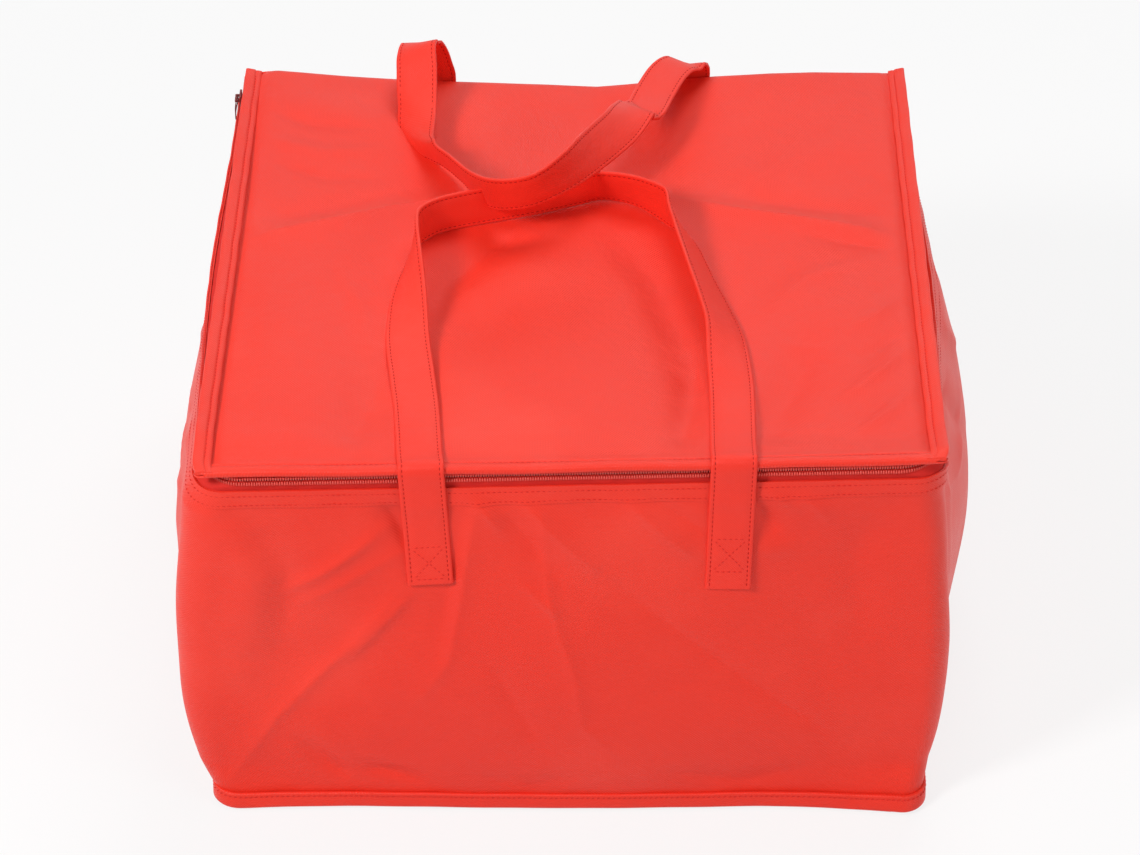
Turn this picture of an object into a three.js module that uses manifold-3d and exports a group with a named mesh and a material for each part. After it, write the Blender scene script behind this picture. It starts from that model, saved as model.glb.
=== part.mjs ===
// Soft insulated carry bag: a bulging four-walled body, a zipped lid that folds open at the back,
// and two strap handles. Millimetres, +Z up, front towards -Y, origin at the middle of the base.
import * as THREE from "three";
import Module from "manifold-3d";
import { mergeVertices } from "three/addons/utils/BufferGeometryUtils.js";

const wasm = await Module();
wasm.setup();

// Overall sizes
const bagHeight = 278;
const lidWidth = 457;
const lidOverhang = 1;
const baseTaper = 10;
const baseWidth = lidWidth - baseTaper;
const baseDepth = 446;
const rimSpread = 1;
const rimWidth = lidWidth + rimSpread;
const cornerRadius = 26;
const hemDrop = 16;
const hemTop = bagHeight - hemDrop;

// How far the full walls swell past straight ones
const sideSwell = 29;
const frontSpread = 19;
const frontSwell = 12;
const backSwell = 8;
const lidSag = 9;

// Cloth, foam and foil
const skinThickness = 1.2;
const foamThickness = 4;
const linerThickness = 0.6;
const boardThickness = 2;
const layerGap = 0.3;

// Bindings and hem
const bindingWidth = 12;
const bindingThickness = 3;
const bindingRise = 2.5;
const hemHeight = 12;
const hemThickness = 1.5;
const floorClearance = 0.8;

// Zip
const zipDrop = 8.5;
const zipMiddle = bagHeight - zipDrop;
const zipInset = 4;
const tapeThickness = 0.6;
const tapeDrop = 13;
const coilHeight = 2.4;
const coilThickness = 1.6;
const coilGap = 1.3;
const zipEndInset = 6;
const sliderLength = 10;
const sliderHeight = 8;
const outerPlate = 1.5;
const innerPlate = 1.2;
const sliderPost = 0.7;
const bridgeSpan = 8;
const bridgeReach = 3.2;
const bridgeStock = 1;
const bridgeWidth = 1.8;
const pullLength = 27;
const pullWidth = 5;
const pullWire = 1.1;
const pullBow = 3;
const sliderInset = 14;

// Handles
const strapWidth = 28.6;
const strapThickness = 2.4;
const frontSpacing = 188;
const frontOffset = 6;
const rearSpacing = 172;
const rearOffset = -3;
const strapEndLow = 183;
const rearHingeDrop = 6;
const rearFoldGap = 0.9;
const creaseGap = 0.8;

// Grain of the meshes, in pieces along each run
const sidePieces = 8;
const cornerPieces = 4;
const frontPieces = 10;
const heightPieces = 8;
const lidPieces = 10;
const wirePieces = 6;
const pullPieces = 10;
const strapPieces = 2;
const sewnPieces = 4;

// Shares that shape the swell: how soon a wall swells going up, and how much is left at the rim
const swellPower = 0.72;
const sideReachShare = 0.95;
const lidSagFrontShare = 0.15;
const steepShares = [0.3, 0.7];
const riseShares = [0, 0.4, 0.75];
const creaseShare = 0.893;

const redCloth = { color: 0xeb4439, roughness: 0.62, metalness: 0 };
const redStrap = { color: 0xf03b30, roughness: 0.66, metalness: 0 };
const redTape = { color: 0xa81c20, roughness: 0.75, metalness: 0 };
const whiteFoam = { color: 0xeeeeea, roughness: 0.9, metalness: 0 };
const silverFoil = { color: 0xc9ccd0, roughness: 0.3, metalness: 0.85 };
const greyBoard = { color: 0x8d9093, roughness: 0.7, metalness: 0 };
const darkMetal = { color: 0x5a2326, roughness: 0.4, metalness: 0.6 };
const darkWire = { color: 0x3a1c1e, roughness: 0.45, metalness: 0.2 };

const bag = new THREE.Group();

function addPiece(name, geometry, look) {
  const piece = new THREE.Mesh(geometry, new THREE.MeshStandardMaterial(look));
  piece.name = name;
  bag.add(piece);
  return piece;
}

function meshFrom(corners, faces) {
  const geometry = new THREE.BufferGeometry();
  geometry.setAttribute("position", new THREE.Float32BufferAttribute(corners.flat(), 3));
  geometry.setIndex(faces.flat());
  return geometry;
}

// A closed sheet from two grids of points that face each other: outer is seen from outside with
// its columns running to the right and its rows running up
function sheetSolid(outer, inner) {
  const rows = outer.length;
  const columns = outer[0].length;
  const corners = [...outer.flat(), ...inner.flat()];
  const front = (row, column) => row * columns + column;
  const back = (row, column) => rows * columns + front(row, column);
  const faces = [];
  const quad = (a, b, c, d) => faces.push([a, b, c], [a, c, d]);
  for (let row = 0; row < rows - 1; row += 1) {
    for (let column = 0; column < columns - 1; column += 1) {
      const right = column + 1;
      const above = row + 1;
      quad(front(row, column), front(row, right), front(above, right), front(above, column));
      quad(back(row, column), back(above, column), back(above, right), back(row, right));
    }
  }
  for (let column = 0; column < columns - 1; column += 1) {
    const right = column + 1;
    const top = rows - 1;
    quad(back(0, column), back(0, right), front(0, right), front(0, column));
    quad(front(top, column), front(top, right), back(top, right), back(top, column));
  }
  for (let row = 0; row < rows - 1; row += 1) {
    const above = row + 1;
    const last = columns - 1;
    quad(back(row, 0), front(row, 0), front(above, 0), back(above, 0));
    quad(front(row, last), back(row, last), back(above, last), front(above, last));
  }
  return meshFrom(corners, faces);
}

// Plan of the bag. Each station of the U that runs from the rear left corner round the front to the
// rear right corner has a side, a share along that side, and an angle on the corners.
const stations = [];
for (let step = 0; step <= sidePieces; step += 1) {
  stations.push({ side: "left", share: step / sidePieces });
}
for (let step = 1; step < cornerPieces; step += 1) {
  stations.push({ side: "leftCorner", share: step / cornerPieces });
}
for (let step = 0; step <= frontPieces; step += 1) {
  stations.push({ side: "front", share: step / frontPieces });
}
for (let step = 1; step < cornerPieces; step += 1) {
  stations.push({ side: "rightCorner", share: step / cornerPieces });
}
for (let step = 0; step <= sidePieces; step += 1) {
  stations.push({ side: "right", share: step / sidePieces });
}

const mix = THREE.MathUtils.lerp;
const bell = (share) => Math.cos((share * Math.PI) / 2) ** 2;

function swellShare(height, reachShare) {
  const share = Math.min(Math.max(height / hemTop, 0), 1);
  return Math.sin(Math.PI * reachShare * share ** swellPower);
}

// Half width of the bag at a height and a place front to back
function halfWidth(height, y) {
  const straight = mix(baseWidth, rimWidth, Math.min(height / hemTop, 1)) / 2;
  const frontShare = mix(1, 0, (y + baseDepth / 2) / baseDepth);
  const across = bell(Math.min(Math.abs(y) / (baseDepth / 2 - cornerRadius), 1));
  return straight + swellShare(height, sideReachShare) * (frontSpread * frontShare + sideSwell * across);
}

// Point of the U at a station, a height, and a depth in from the outside of the cloth
function wrapPoint(station, height, depth) {
  const halfDepth = baseDepth / 2;
  const cornerY = -(halfDepth - cornerRadius);
  const inner = cornerRadius - depth;
  const sign = station.side.startsWith("left") ? -1 : 1;
  if (station.side === "left" || station.side === "right") {
    const share = station.side === "left" ? station.share : 1 - station.share;
    const y = mix(halfDepth, cornerY, share);
    return [sign * (halfWidth(height, y) - depth), y, height];
  }
  const cornerX = halfWidth(height, cornerY) - cornerRadius;
  if (station.side === "front") {
    const x = mix(-cornerX, cornerX, station.share);
    const swell = frontSwell * swellShare(height, 1) * bell(x / cornerX);
    return [x, -(halfDepth + swell - depth), height];
  }
  const share = station.side === "leftCorner" ? station.share : 1 - station.share;
  const turn = (share * Math.PI) / 2;
  return [sign * (cornerX + inner * Math.cos(turn)), cornerY - inner * Math.sin(turn), height];
}

function evenSteps(low, high, pieces) {
  return Array.from({ length: pieces + 1 }, (_, step) => mix(low, high, step / pieces));
}

function wrapSolid(levels, depth, thickness) {
  const grid = (inward) =>
    levels.map((z) => stations.map((station) => wrapPoint(station, z, inward)));
  return sheetSolid(grid(depth), grid(depth + thickness));
}

// Depth of each layer in from the outside
const foamDepth = skinThickness + layerGap;
const linerDepth = foamDepth + foamThickness + layerGap;
const wallDepth = linerDepth + linerThickness;
const wallFoot = skinThickness + layerGap;
const tapeFoot = zipMiddle - tapeDrop;
const liningTop = tapeFoot - layerGap;

// Every layer of a wall bends at the same levels, with one at each edge of the hem and the binding
const bindingFoot = floorClearance + skinThickness;
const bindingTop = bindingFoot + bindingWidth;
const hemLow = hemTop - hemHeight;
const wallLevels = [wallFoot, ...evenSteps(bindingTop, hemLow, heightPieces), liningTop];
addPiece("front_and_side_wrap", wrapSolid([...wallLevels, hemTop], 0, skinThickness), redCloth);
addPiece("wrap_foam", wrapSolid(wallLevels, foamDepth, foamThickness), whiteFoam);
addPiece("wrap_foil_liner", wrapSolid(wallLevels, linerDepth, linerThickness), silverFoil);
const hemLevels = [hemLow, liningTop, hemTop];
addPiece("top_hem", wrapSolid(hemLevels, -layerGap - hemThickness, hemThickness), redCloth);
const baseBinding = wrapSolid([bindingFoot, bindingTop], -layerGap - bindingThickness, bindingThickness);
addPiece("base_binding", baseBinding, redCloth);

const rearFace = baseDepth / 2 + layerGap + skinThickness;
const lidFrontY = -(baseDepth / 2 + lidOverhang);
const lidDepth = rearFace - lidFrontY;

// Lid surface: nearly level at its edges and sagging in the middle and along the rear fold
function lidTop(x, y) {
  const across = 1 - Math.min((2 * Math.abs(x)) / lidWidth, 1) ** 2;
  const along = Math.min(Math.max((y - lidFrontY) / lidDepth, 0), 1);
  return bagHeight - lidSag * across * mix(lidSagFrontShare, 1, Math.sin((along * Math.PI) / 2));
}

// Back wall: it closes the U between the two rear corners, under the sagging fold of the lid
const backInset = wallDepth + layerGap;
const foldGap = skinThickness + layerGap;

const backSpan = baseWidth / 2 - skinThickness;

function backFace(x, z) {
  const rise = Math.min((z - wallFoot) / (lidTop(x, rearFace) - foldGap - wallFoot), 1);
  return rearFace + backSwell * Math.sin(Math.PI * rise ** swellPower) * bell(x / backSpan);
}

function backSolid(halfSpan, topDrop, depth, thickness) {
  const grid = (inward) =>
    evenSteps(0, 1, heightPieces).map((rise) =>
      evenSteps(halfSpan, -halfSpan, frontPieces).map((x) => {
        const z = mix(wallFoot, lidTop(x, rearFace) - topDrop, rise);
        return [x, backFace(x, z) - inward, z];
      }),
    );
  return sheetSolid(grid(depth), grid(depth + thickness));
}

const backLiningSpan = baseWidth / 2 - backInset;
const backLiningDrop = foldGap + foamThickness + linerThickness + layerGap + layerGap + lidSag;
addPiece("back_panel", backSolid(backSpan, foldGap, 0, skinThickness), redCloth);
const backFoam = backSolid(backLiningSpan, backLiningDrop, foamDepth, foamThickness);
addPiece("back_foam", backFoam, whiteFoam);
const backLiner = backSolid(backLiningSpan, backLiningDrop, linerDepth, linerThickness);
addPiece("back_foil_liner", backLiner, silverFoil);

// Level slabs with rounded corners for the layers of the base
function slab(halfX, frontY, rearY, radius, low, thickness) {
  const outline = new THREE.Shape();
  outline.moveTo(-halfX, rearY);
  outline.lineTo(-halfX, frontY + radius);
  outline.absarc(-halfX + radius, frontY + radius, radius, Math.PI, 1.5 * Math.PI, false);
  outline.absarc(halfX - radius, frontY + radius, radius, 1.5 * Math.PI, 2 * Math.PI, false);
  outline.lineTo(halfX, rearY);
  const settings = { depth: thickness, bevelEnabled: false, curveSegments: cornerPieces };
  const geometry = new THREE.ExtrudeGeometry(outline, settings);
  geometry.translate(0, 0, low);
  return geometry;
}

const fullBase = slab(baseWidth / 2, -baseDepth / 2, rearFace, cornerRadius, 0, skinThickness);
addPiece("base_panel", fullBase, redCloth);

function baseLayer(low, thickness) {
  const inset = wallDepth + layerGap;
  const halfX = baseWidth / 2 - inset;
  return slab(halfX, inset - baseDepth / 2, rearFace - inset, cornerRadius - inset, low, thickness);
}

const boardLow = skinThickness + layerGap;
const baseFoamLow = boardLow + boardThickness + layerGap;
const baseLinerLow = baseFoamLow + foamThickness + layerGap;
addPiece("base_board", baseLayer(boardLow, boardThickness), greyBoard);
addPiece("base_foam", baseLayer(baseFoamLow, foamThickness), whiteFoam);
addPiece("base_foil_liner", baseLayer(baseLinerLow, linerThickness), silverFoil);

// Bound seams that stand out from the two rear corners
function rearBinding(sign) {
  const near = rearFace + layerGap;
  const far = near + bindingWidth;
  const top = hemTop - layerGap;
  const grid = (outward) =>
    evenSteps(bindingFoot, top, heightPieces).map((z) => {
      const x = sign * (backSpan - bindingThickness / 2 + outward);
      const ends = [far, near];
      return (sign < 0 ? ends : ends.reverse()).map((y) => [x, y, z]);
    });
  return sheetSolid(grid(bindingThickness / 2), grid(-bindingThickness / 2));
}

addPiece("rear_left_binding", rearBinding(-1), redCloth);
addPiece("rear_right_binding", rearBinding(1), redCloth);

// Lid layers: grids that follow the sag, each row with its own half width
function lidSolid(rows, drop, thickness) {
  const grid = (down) =>
    rows.map(({ y, halfX }) =>
      evenSteps(-halfX, halfX, lidPieces).map((x) => [x, y, lidTop(x, y) - down]),
    );
  return sheetSolid(grid(drop), grid(drop + thickness));
}

const flangeInner = lidWidth / 2 - bindingWidth;
const lidSkinHalf = flangeInner - layerGap;
const lidRows = evenSteps(lidFrontY, rearFace, lidPieces).map((y) => ({ y, halfX: lidSkinHalf }));
addPiece("lid_panel", lidSolid(lidRows, 0, skinThickness), redCloth);

// Foam and foil of the lid keep inside the zip, with rounded front corners
const zipHalf = lidWidth / 2 - zipInset;
const zipFrontY = -(baseDepth / 2 - skinThickness - layerGap);
const zipCorner = cornerRadius - zipInset / 2;
const lidFoamDrop = skinThickness + layerGap;
const lidLinerDrop = lidFoamDrop + foamThickness + layerGap;
const lidInset = tapeThickness + layerGap * 2;
const lidFoamFront = zipFrontY + lidInset;
const lidFoamRear = rearFace - backInset - layerGap;
const lidFoamHalf = lidSkinHalf - layerGap;
const lidCornerY = lidFoamFront + zipCorner;

function lidFoamRow(y) {
  const cornerX = lidFoamHalf - zipCorner;
  const along = Math.max(lidCornerY - y, 0);
  return { y, halfX: cornerX + Math.sqrt(zipCorner ** 2 - along ** 2) };
}

const lidCornerRows = evenSteps(1, 0, cornerPieces).map((share) =>
  lidFoamRow(lidCornerY - zipCorner * Math.sin((share * Math.PI) / 2)),
);
const lidInnerRows = evenSteps(lidCornerY, lidFoamRear, lidPieces).slice(1).map(lidFoamRow);
const lidFoamRows = [...lidCornerRows, ...lidInnerRows];
addPiece("lid_foam", lidSolid(lidFoamRows, lidFoamDrop, foamThickness), whiteFoam);
addPiece("lid_foil_liner", lidSolid(lidFoamRows, lidLinerDrop, linerThickness), silverFoil);

// Raised bound flanges along both sides of the lid
function lidBinding(sign) {
  const innerX = flangeInner;
  const outerX = lidWidth / 2;
  const grid = (up) =>
    evenSteps(lidFrontY, rearFace, sidePieces).map((y) => {
      const ends = [
        [sign * innerX, y, bagHeight - skinThickness + up],
        [sign * outerX, y, bagHeight - skinThickness + bindingRise + up],
      ];
      return sign < 0 ? ends.reverse() : ends;
    });
  return sheetSolid(grid(bindingThickness), grid(0));
}

addPiece("lid_left_binding", lidBinding(-1), redCloth);
addPiece("lid_right_binding", lidBinding(1), redCloth);

// Zip: an upright ribbon that runs down one side, round the front and back up the other side
function zipStations() {
  const rearY = rearFace - zipEndInset;
  const cornerY = zipFrontY + zipCorner;
  const cornerX = zipHalf - zipCorner;
  const route = [];
  const add = (x, y, outX, outY) => route.push({ x, y, outX, outY });
  for (let step = 0; step <= sidePieces; step += 1) {
    add(-zipHalf, mix(rearY, cornerY, step / sidePieces), -1, 0);
  }
  for (let step = 1; step < cornerPieces * 2; step += 1) {
    const turn = (step / (cornerPieces * 2)) * (Math.PI / 2);
    const out = [-Math.cos(turn), -Math.sin(turn)];
    add(-cornerX + zipCorner * out[0], cornerY + zipCorner * out[1], ...out);
  }
  for (let step = 0; step <= frontPieces; step += 1) {
    add(mix(-cornerX, cornerX, step / frontPieces), zipFrontY, 0, -1);
  }
  for (let step = 1; step < cornerPieces * 2; step += 1) {
    const turn = (1 - step / (cornerPieces * 2)) * (Math.PI / 2);
    const out = [Math.cos(turn), -Math.sin(turn)];
    add(cornerX + zipCorner * out[0], cornerY + zipCorner * out[1], ...out);
  }
  for (let step = 0; step <= sidePieces; step += 1) {
    add(zipHalf, mix(cornerY, rearY, step / sidePieces), 1, 0);
  }
  return route;
}

const zipRoute = zipStations();

function zipRibbon(low, high, nearOut, thickness) {
  const grid = (out) =>
    [low, high].map((z) => zipRoute.map((p) => [p.x + p.outX * out, p.y + p.outY * out, z]));
  return sheetSolid(grid(nearOut + thickness), grid(nearOut));
}

const lowerEdge = zipMiddle - coilGap / 2;
const upperEdge = zipMiddle + coilGap / 2;
const lidUnderside = bagHeight - skinThickness - lidSag * lidSagFrontShare;
const tapeTop = lidUnderside - layerGap;
addPiece("zip_lower_tape", zipRibbon(tapeFoot, lowerEdge, -tapeThickness, tapeThickness), redTape);
const lowerCoil = zipRibbon(lowerEdge - coilHeight, lowerEdge, layerGap, coilThickness);
addPiece("zip_lower_coil", lowerCoil, redTape);
addPiece("zip_upper_tape", zipRibbon(upperEdge, tapeTop, -tapeThickness, tapeThickness), redTape);
const upperCoil = zipRibbon(upperEdge, upperEdge + coilHeight, layerGap, coilThickness);
addPiece("zip_upper_coil", upperCoil, redTape);

// Slider: two plates joined by a thin post between the coils, with a bridge for the pull
function solidOf(geometry) {
  const bare = geometry.clone();
  bare.deleteAttribute("normal");
  bare.deleteAttribute("uv");
  const merged = mergeVertices(bare);
  return new wasm.Manifold(
    new wasm.Mesh({
      numProp: 3,
      vertProperties: new Float32Array(merged.attributes.position.array),
      triVerts: new Uint32Array(merged.index.array),
    }),
  );
}

function geometryOf(solid) {
  const mesh = solid.getMesh();
  const geometry = new THREE.BufferGeometry();
  geometry.setAttribute("position", new THREE.BufferAttribute(new Float32Array(mesh.vertProperties), 3));
  geometry.setIndex(new THREE.BufferAttribute(new Uint32Array(mesh.triVerts), 1));
  return geometry;
}

function boxSolid(sizeX, sizeY, sizeZ, x, y, z) {
  const box = new THREE.BoxGeometry(sizeX, sizeY, sizeZ);
  box.translate(x, y, z);
  return solidOf(box);
}

const sliderY = rearFace - zipEndInset - sliderInset;
const outerIn = -zipHalf - layerGap - coilThickness - layerGap;
const outerOut = outerIn - outerPlate;
const innerOut = -zipHalf + tapeThickness + layerGap;
const innerIn = innerOut + innerPlate;
const bridgeOut = outerOut - bridgeReach;
const pullAxisX = outerOut - (bridgeReach - bridgeStock) / 2;

function sliderBody() {
  const overrun = bridgeStock / 2;
  const plate = (from, to) =>
    boxSolid(Math.abs(to - from), sliderLength, sliderHeight, (from + to) / 2, sliderY, zipMiddle);
  const outer = plate(outerIn, outerOut);
  const inner = plate(innerIn, innerOut);
  const postSpan = innerOut - outerIn + overrun * 2;
  const post = boxSolid(postSpan, sliderLength, sliderPost, (innerOut + outerIn) / 2, sliderY, zipMiddle);
  const reach = bridgeReach + overrun;
  const bridge = boxSolid(reach, bridgeSpan, bridgeWidth, bridgeOut + reach / 2, sliderY, zipMiddle);
  const holeReach = bridgeReach - bridgeStock;
  const holeSpan = bridgeSpan - bridgeStock * 2;
  const hole = boxSolid(holeReach, holeSpan, bridgeWidth * 2, outerOut - holeReach / 2, sliderY, zipMiddle);
  return geometryOf(outer.add(inner).add(post).add(bridge.subtract(hole)));
}

addPiece("zip_slider", sliderBody(), darkMetal);

// A round wire bent into a long closed loop
function wireLoop(points, radius) {
  const corners = [];
  const faces = [];
  const count = points.length;
  const leftRight = new THREE.Vector3(1, 0, 0);
  points.forEach((point, index) => {
    const before = points[(index + count - 1) % count];
    const after = points[(index + 1) % count];
    const along = after.clone().sub(before).normalize();
    const outward = along.clone().cross(leftRight).normalize();
    const upward = outward.clone().cross(along).normalize();
    for (let step = 0; step < wirePieces; step += 1) {
      const turn = (step / wirePieces) * Math.PI * 2;
      const spot = point.clone();
      spot.addScaledVector(outward, radius * Math.cos(turn));
      spot.addScaledVector(upward, radius * Math.sin(turn));
      corners.push(spot.toArray());
    }
  });
  for (let ring = 0; ring < count; ring += 1) {
    const next = (ring + 1) % count;
    for (let step = 0; step < wirePieces; step += 1) {
      const turned = (step + 1) % wirePieces;
      const a = ring * wirePieces + step;
      const b = next * wirePieces + step;
      const c = next * wirePieces + turned;
      const d = ring * wirePieces + turned;
      faces.push([a, b, c], [a, c, d]);
    }
  }
  return meshFrom(corners, faces);
}

function pullLoop() {
  const half = pullWidth / 2;
  const straight = pullLength - half;
  const points = [];
  const add = (along, up) => {
    const bow = pullBow * Math.sin(Math.PI * Math.min(Math.max(along / pullLength, 0), 1));
    points.push(new THREE.Vector3(pullAxisX - bow, sliderY - along, zipMiddle + up));
  };
  for (let step = 0; step <= pullPieces; step += 1) {
    add((straight * step) / pullPieces, half);
  }
  for (let step = 1; step < pullPieces / 2; step += 1) {
    const turn = (step / (pullPieces / 2)) * Math.PI;
    add(straight + half * Math.sin(turn), half * Math.cos(turn));
  }
  for (let step = pullPieces; step >= 0; step -= 1) {
    add((straight * step) / pullPieces, -half);
  }
  return wireLoop(points, pullWire / 2);
}

addPiece("zip_pull", pullLoop(), darkWire);

// Straps. A station of a strap has a place and a lean: 0 lies flat, 1 stands on its edge. Where a
// strap climbs a wall, its flat side faces the way it heads next, which is forward or back.
function strapSolid(stops, stopLeans, startSense) {
  const up = new THREE.Vector3(0, 0, 1);
  const halfWide = strapWidth / 2;
  const halfThick = strapThickness / 2;
  const route = new THREE.CatmullRomCurve3(stops, false, "centripetal");
  const last = strapPieces * (stops.length - 1);
  const places = evenSteps(0, 1, last).map((share) => route.getPoint(share));
  const leans = evenSteps(0, stops.length - 1, last).map((spot) => {
    const low = Math.min(Math.floor(spot), stops.length - 2);
    return mix(stopLeans[low], stopLeans[low + 1], spot - low);
  });
  const sections = places.map((place, index) => {
    const before = places[Math.max(index - 1, 0)];
    const after = places[Math.min(index + 1, last)];
    const along = after.clone().sub(before).normalize();
    const sense = startSense * (index < last / 2 ? 1 : -1);
    const heading = new THREE.Vector3(along.x, along.y, 0);
    heading.lerp(new THREE.Vector3(0, sense, 0), THREE.MathUtils.smoothstep(along.z ** 2, ...steepShares));
    const flat = heading.normalize().cross(up);
    const turn = (leans[index] * Math.PI) / 2;
    const wide = flat.multiplyScalar(Math.cos(turn)).addScaledVector(up, Math.sin(turn));
    wide.addScaledVector(along, -wide.dot(along)).normalize();
    const thick = wide.clone().cross(along).normalize();
    const corner = (side, face) =>
      place.clone().addScaledVector(wide, side * halfWide).addScaledVector(thick, face * halfThick).toArray();
    return [corner(-1, 1), corner(1, 1), corner(1, -1), corner(-1, -1)];
  });
  const faces = [];
  const quad = (a, b, c, d) => faces.push([a, b, c], [a, c, d]);
  for (let index = 0; index < last; index += 1) {
    for (let side = 0; side < 4; side += 1) {
      const next = (side + 1) % 4;
      quad(index * 4 + side, index * 4 + next, (index + 1) * 4 + next, (index + 1) * 4 + side);
    }
  }
  quad(3, 2, 1, 0);
  quad(last * 4, last * 4 + 1, last * 4 + 2, last * 4 + 3);
  return meshFrom(sections.flat(), faces);
}

// Height of a strap's middle where it rests on the lid at a lean
function restHeight(lean) {
  const turn = (lean * Math.PI) / 2;
  const edgeReach = (strapWidth / 2) * Math.abs(Math.sin(turn));
  return edgeReach + (strapThickness / 2) * Math.abs(Math.cos(turn)) + layerGap;
}

// Handle loops, station by station: across as a share of half the spacing, back from the front edge as
// a share of the lid's depth, lift above resting on the lid as a share of the strap's width, and lean
const frontLoopShares = [
  [-0.98, 0.018, 0.05, 0],
  [-0.99, 0.045, 0.02, 0],
  [-1.06, 0.14, 0.01, 0],
  [-1.11, 0.22, 0.02, 0.04],
  [-1.16, 0.3, 0.04, 0.14],
  [-1.17, 0.38, 0.03, 0.35],
  [-1.16, 0.45, 0.02, 0.65],
  [-1.14, 0.51, 0.02, 0.9],
  [-1.11, 0.548, 0.02, 1],
  [-1.0, 0.575, 0.02, 1],
  [-0.85, 0.592, 0.02, 1],
  [-0.62, 0.61, 0.02, 1],
  [-0.28, 0.632, 0.02, 0.96],
  [0.0, 0.652, 0.02, 0.88],
  [0.18, 0.664, 0.02, 0.82],
  [0.4, 0.65, 0.02, 0.88],
  [0.6, 0.616, 0.02, 0.96],
  [0.72, 0.585, 0.02, 1],
  [0.79, 0.55, 0.02, 1],
  [0.84, 0.505, 0.02, 0.9],
  [0.88, 0.445, 0.02, 0.62],
  [0.92, 0.375, 0.03, 0.32],
  [0.95, 0.305, 0.03, 0.12],
  [0.98, 0.22, 0.02, 0],
  [0.99, 0.14, 0.01, 0],
  [1.0, 0.045, 0.02, 0],
  [1.0, 0.018, 0.05, 0],
];

const rearLoopShares = [
  [-1.0, 1.0, 0.98, 0],
  [-1.02, 0.984, 1.18, 0],
  [-1.07, 0.962, 1.24, 0],
  [-1.13, 0.935, 1.02, 0],
  [-1.19, 0.893, 0.6, 0],
  [-1.21, 0.862, 0.32, 0.05],
  [-1.19, 0.835, 0.15, 0.25],
  [-1.12, 0.812, 0.08, 0.62],
  [-1.0, 0.785, 0.25, 0.95],
  [-0.88, 0.735, 0.6, 1.1],
  [-0.76, 0.67, 0.98, 1.3],
  [-0.6, 0.607, 1.12, 1.45],
  [-0.4, 0.575, 1.05, 1.5],
  [-0.15, 0.567, 1.0, 1.5],
  [0.04, 0.587, 1.08, 1.48],
  [0.16, 0.64, 1.12, 1.42],
  [0.26, 0.71, 0.9, 1.38],
  [0.4, 0.765, 0.55, 1.25],
  [0.54, 0.812, 0.25, 0.98],
  [0.63, 0.85, 0.35, 0.5],
  [0.73, 0.893, 0.65, 0],
  [0.83, 0.925, 0.72, 0],
  [0.93, 0.958, 0.72, 0],
  [0.98, 0.984, 0.62, 0],
  [1.0, 1.0, 0.46, 0],
];

function loopPlaces(shares, spacing, offset) {
  return shares.map(([across, back, lift, lean]) => {
    const x = offset + (across * spacing) / 2;
    const y = lidFrontY + back * lidDepth;
    return new THREE.Vector3(x, y, lidTop(x, y) + restHeight(lean) + lift * strapWidth);
  });
}

// The front strap hangs in front of its sewn ends when it is folded right over, so it turns on a line
// just outside them, level with its own middle where it lies on the lid's edge
const overHem = layerGap + hemThickness + layerGap;
const frontHingeY = -(baseDepth / 2 + overHem + strapThickness + layerGap + strapThickness / 2);
const frontHingeHeight = bagHeight + layerGap + strapThickness / 2;

function frontLoop() {
  const middle = loopPlaces(frontLoopShares, frontSpacing, frontOffset);
  const leans = frontLoopShares.map((row) => row[3]);
  const edge = (end) => new THREE.Vector3(end.x, frontHingeY, frontHingeHeight);
  const stops = [edge(middle[0]), ...middle, edge(middle.at(-1))];
  return strapSolid(stops, [0, ...leans, 0], 1);
}

// The rear strap climbs the back wall, humps over the lid's rear edge and comes down to a crease,
// where the loop that lies on the lid folds back over the two risers
const rearStrapY = rearFace + layerGap + strapThickness / 2;
const rearHingeHeight = bagHeight - rearHingeDrop;
const creaseY = lidFrontY + creaseShare * lidDepth;

function rearLoop() {
  const middle = loopPlaces(rearLoopShares, rearSpacing, rearOffset);
  const leans = rearLoopShares.map((row) => row[3]);
  const rise = (share, end, sign) => {
    const x = rearOffset + (sign * rearSpacing) / 2;
    return new THREE.Vector3(x, rearStrapY, mix(rearHingeHeight, end.z, share));
  };
  const first = riseShares.map((share) => rise(share, middle[0], -1));
  const final = riseShares.map((share) => rise(share, middle.at(-1), 1)).reverse();
  return strapSolid([...first, ...middle, ...final], [0, 0, 0, ...leans, 0, 0, 0], -1);
}

function rearPieces() {
  const cut = boxSolid(lidWidth, creaseGap, strapWidth * 2, 0, creaseY, bagHeight);
  const pieces = solidOf(rearLoop()).subtract(cut).decompose();
  const leftEnd = (piece) => piece.boundingBox().min[0];
  const frontEnd = (piece) => piece.boundingBox().min[1];
  const [loop, ...risers] = pieces.sort((a, b) => frontEnd(a) - frontEnd(b));
  const [left, right] = risers.sort((a, b) => leftEnd(a) - leftEnd(b));
  return { loop, left, right };
}

const rearStrap = rearPieces();
addPiece("front_handle_loop", frontLoop(), redStrap);
addPiece("rear_handle_loop", geometryOf(rearStrap.loop), redStrap);
addPiece("rear_handle_left_riser", geometryOf(rearStrap.left), redStrap);
addPiece("rear_handle_right_riser", geometryOf(rearStrap.right), redStrap);

// Sewn ends of the straps, flat against the front and back walls
const endLevels = [...evenSteps(strapEndLow, hemLow - strapThickness, sewnPieces), hemLow, hemTop];

function strapEnd(x, outside, top, sign) {
  const half = (-sign * strapWidth) / 2;
  const edges = evenSteps(x - half, x + half, 2);
  const grid = (out) =>
    [...endLevels, top].map((z) => edges.map((edge) => [edge, sign * (outside(edge, z) + out), z]));
  return sheetSolid(grid(strapThickness), grid(0));
}

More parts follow.
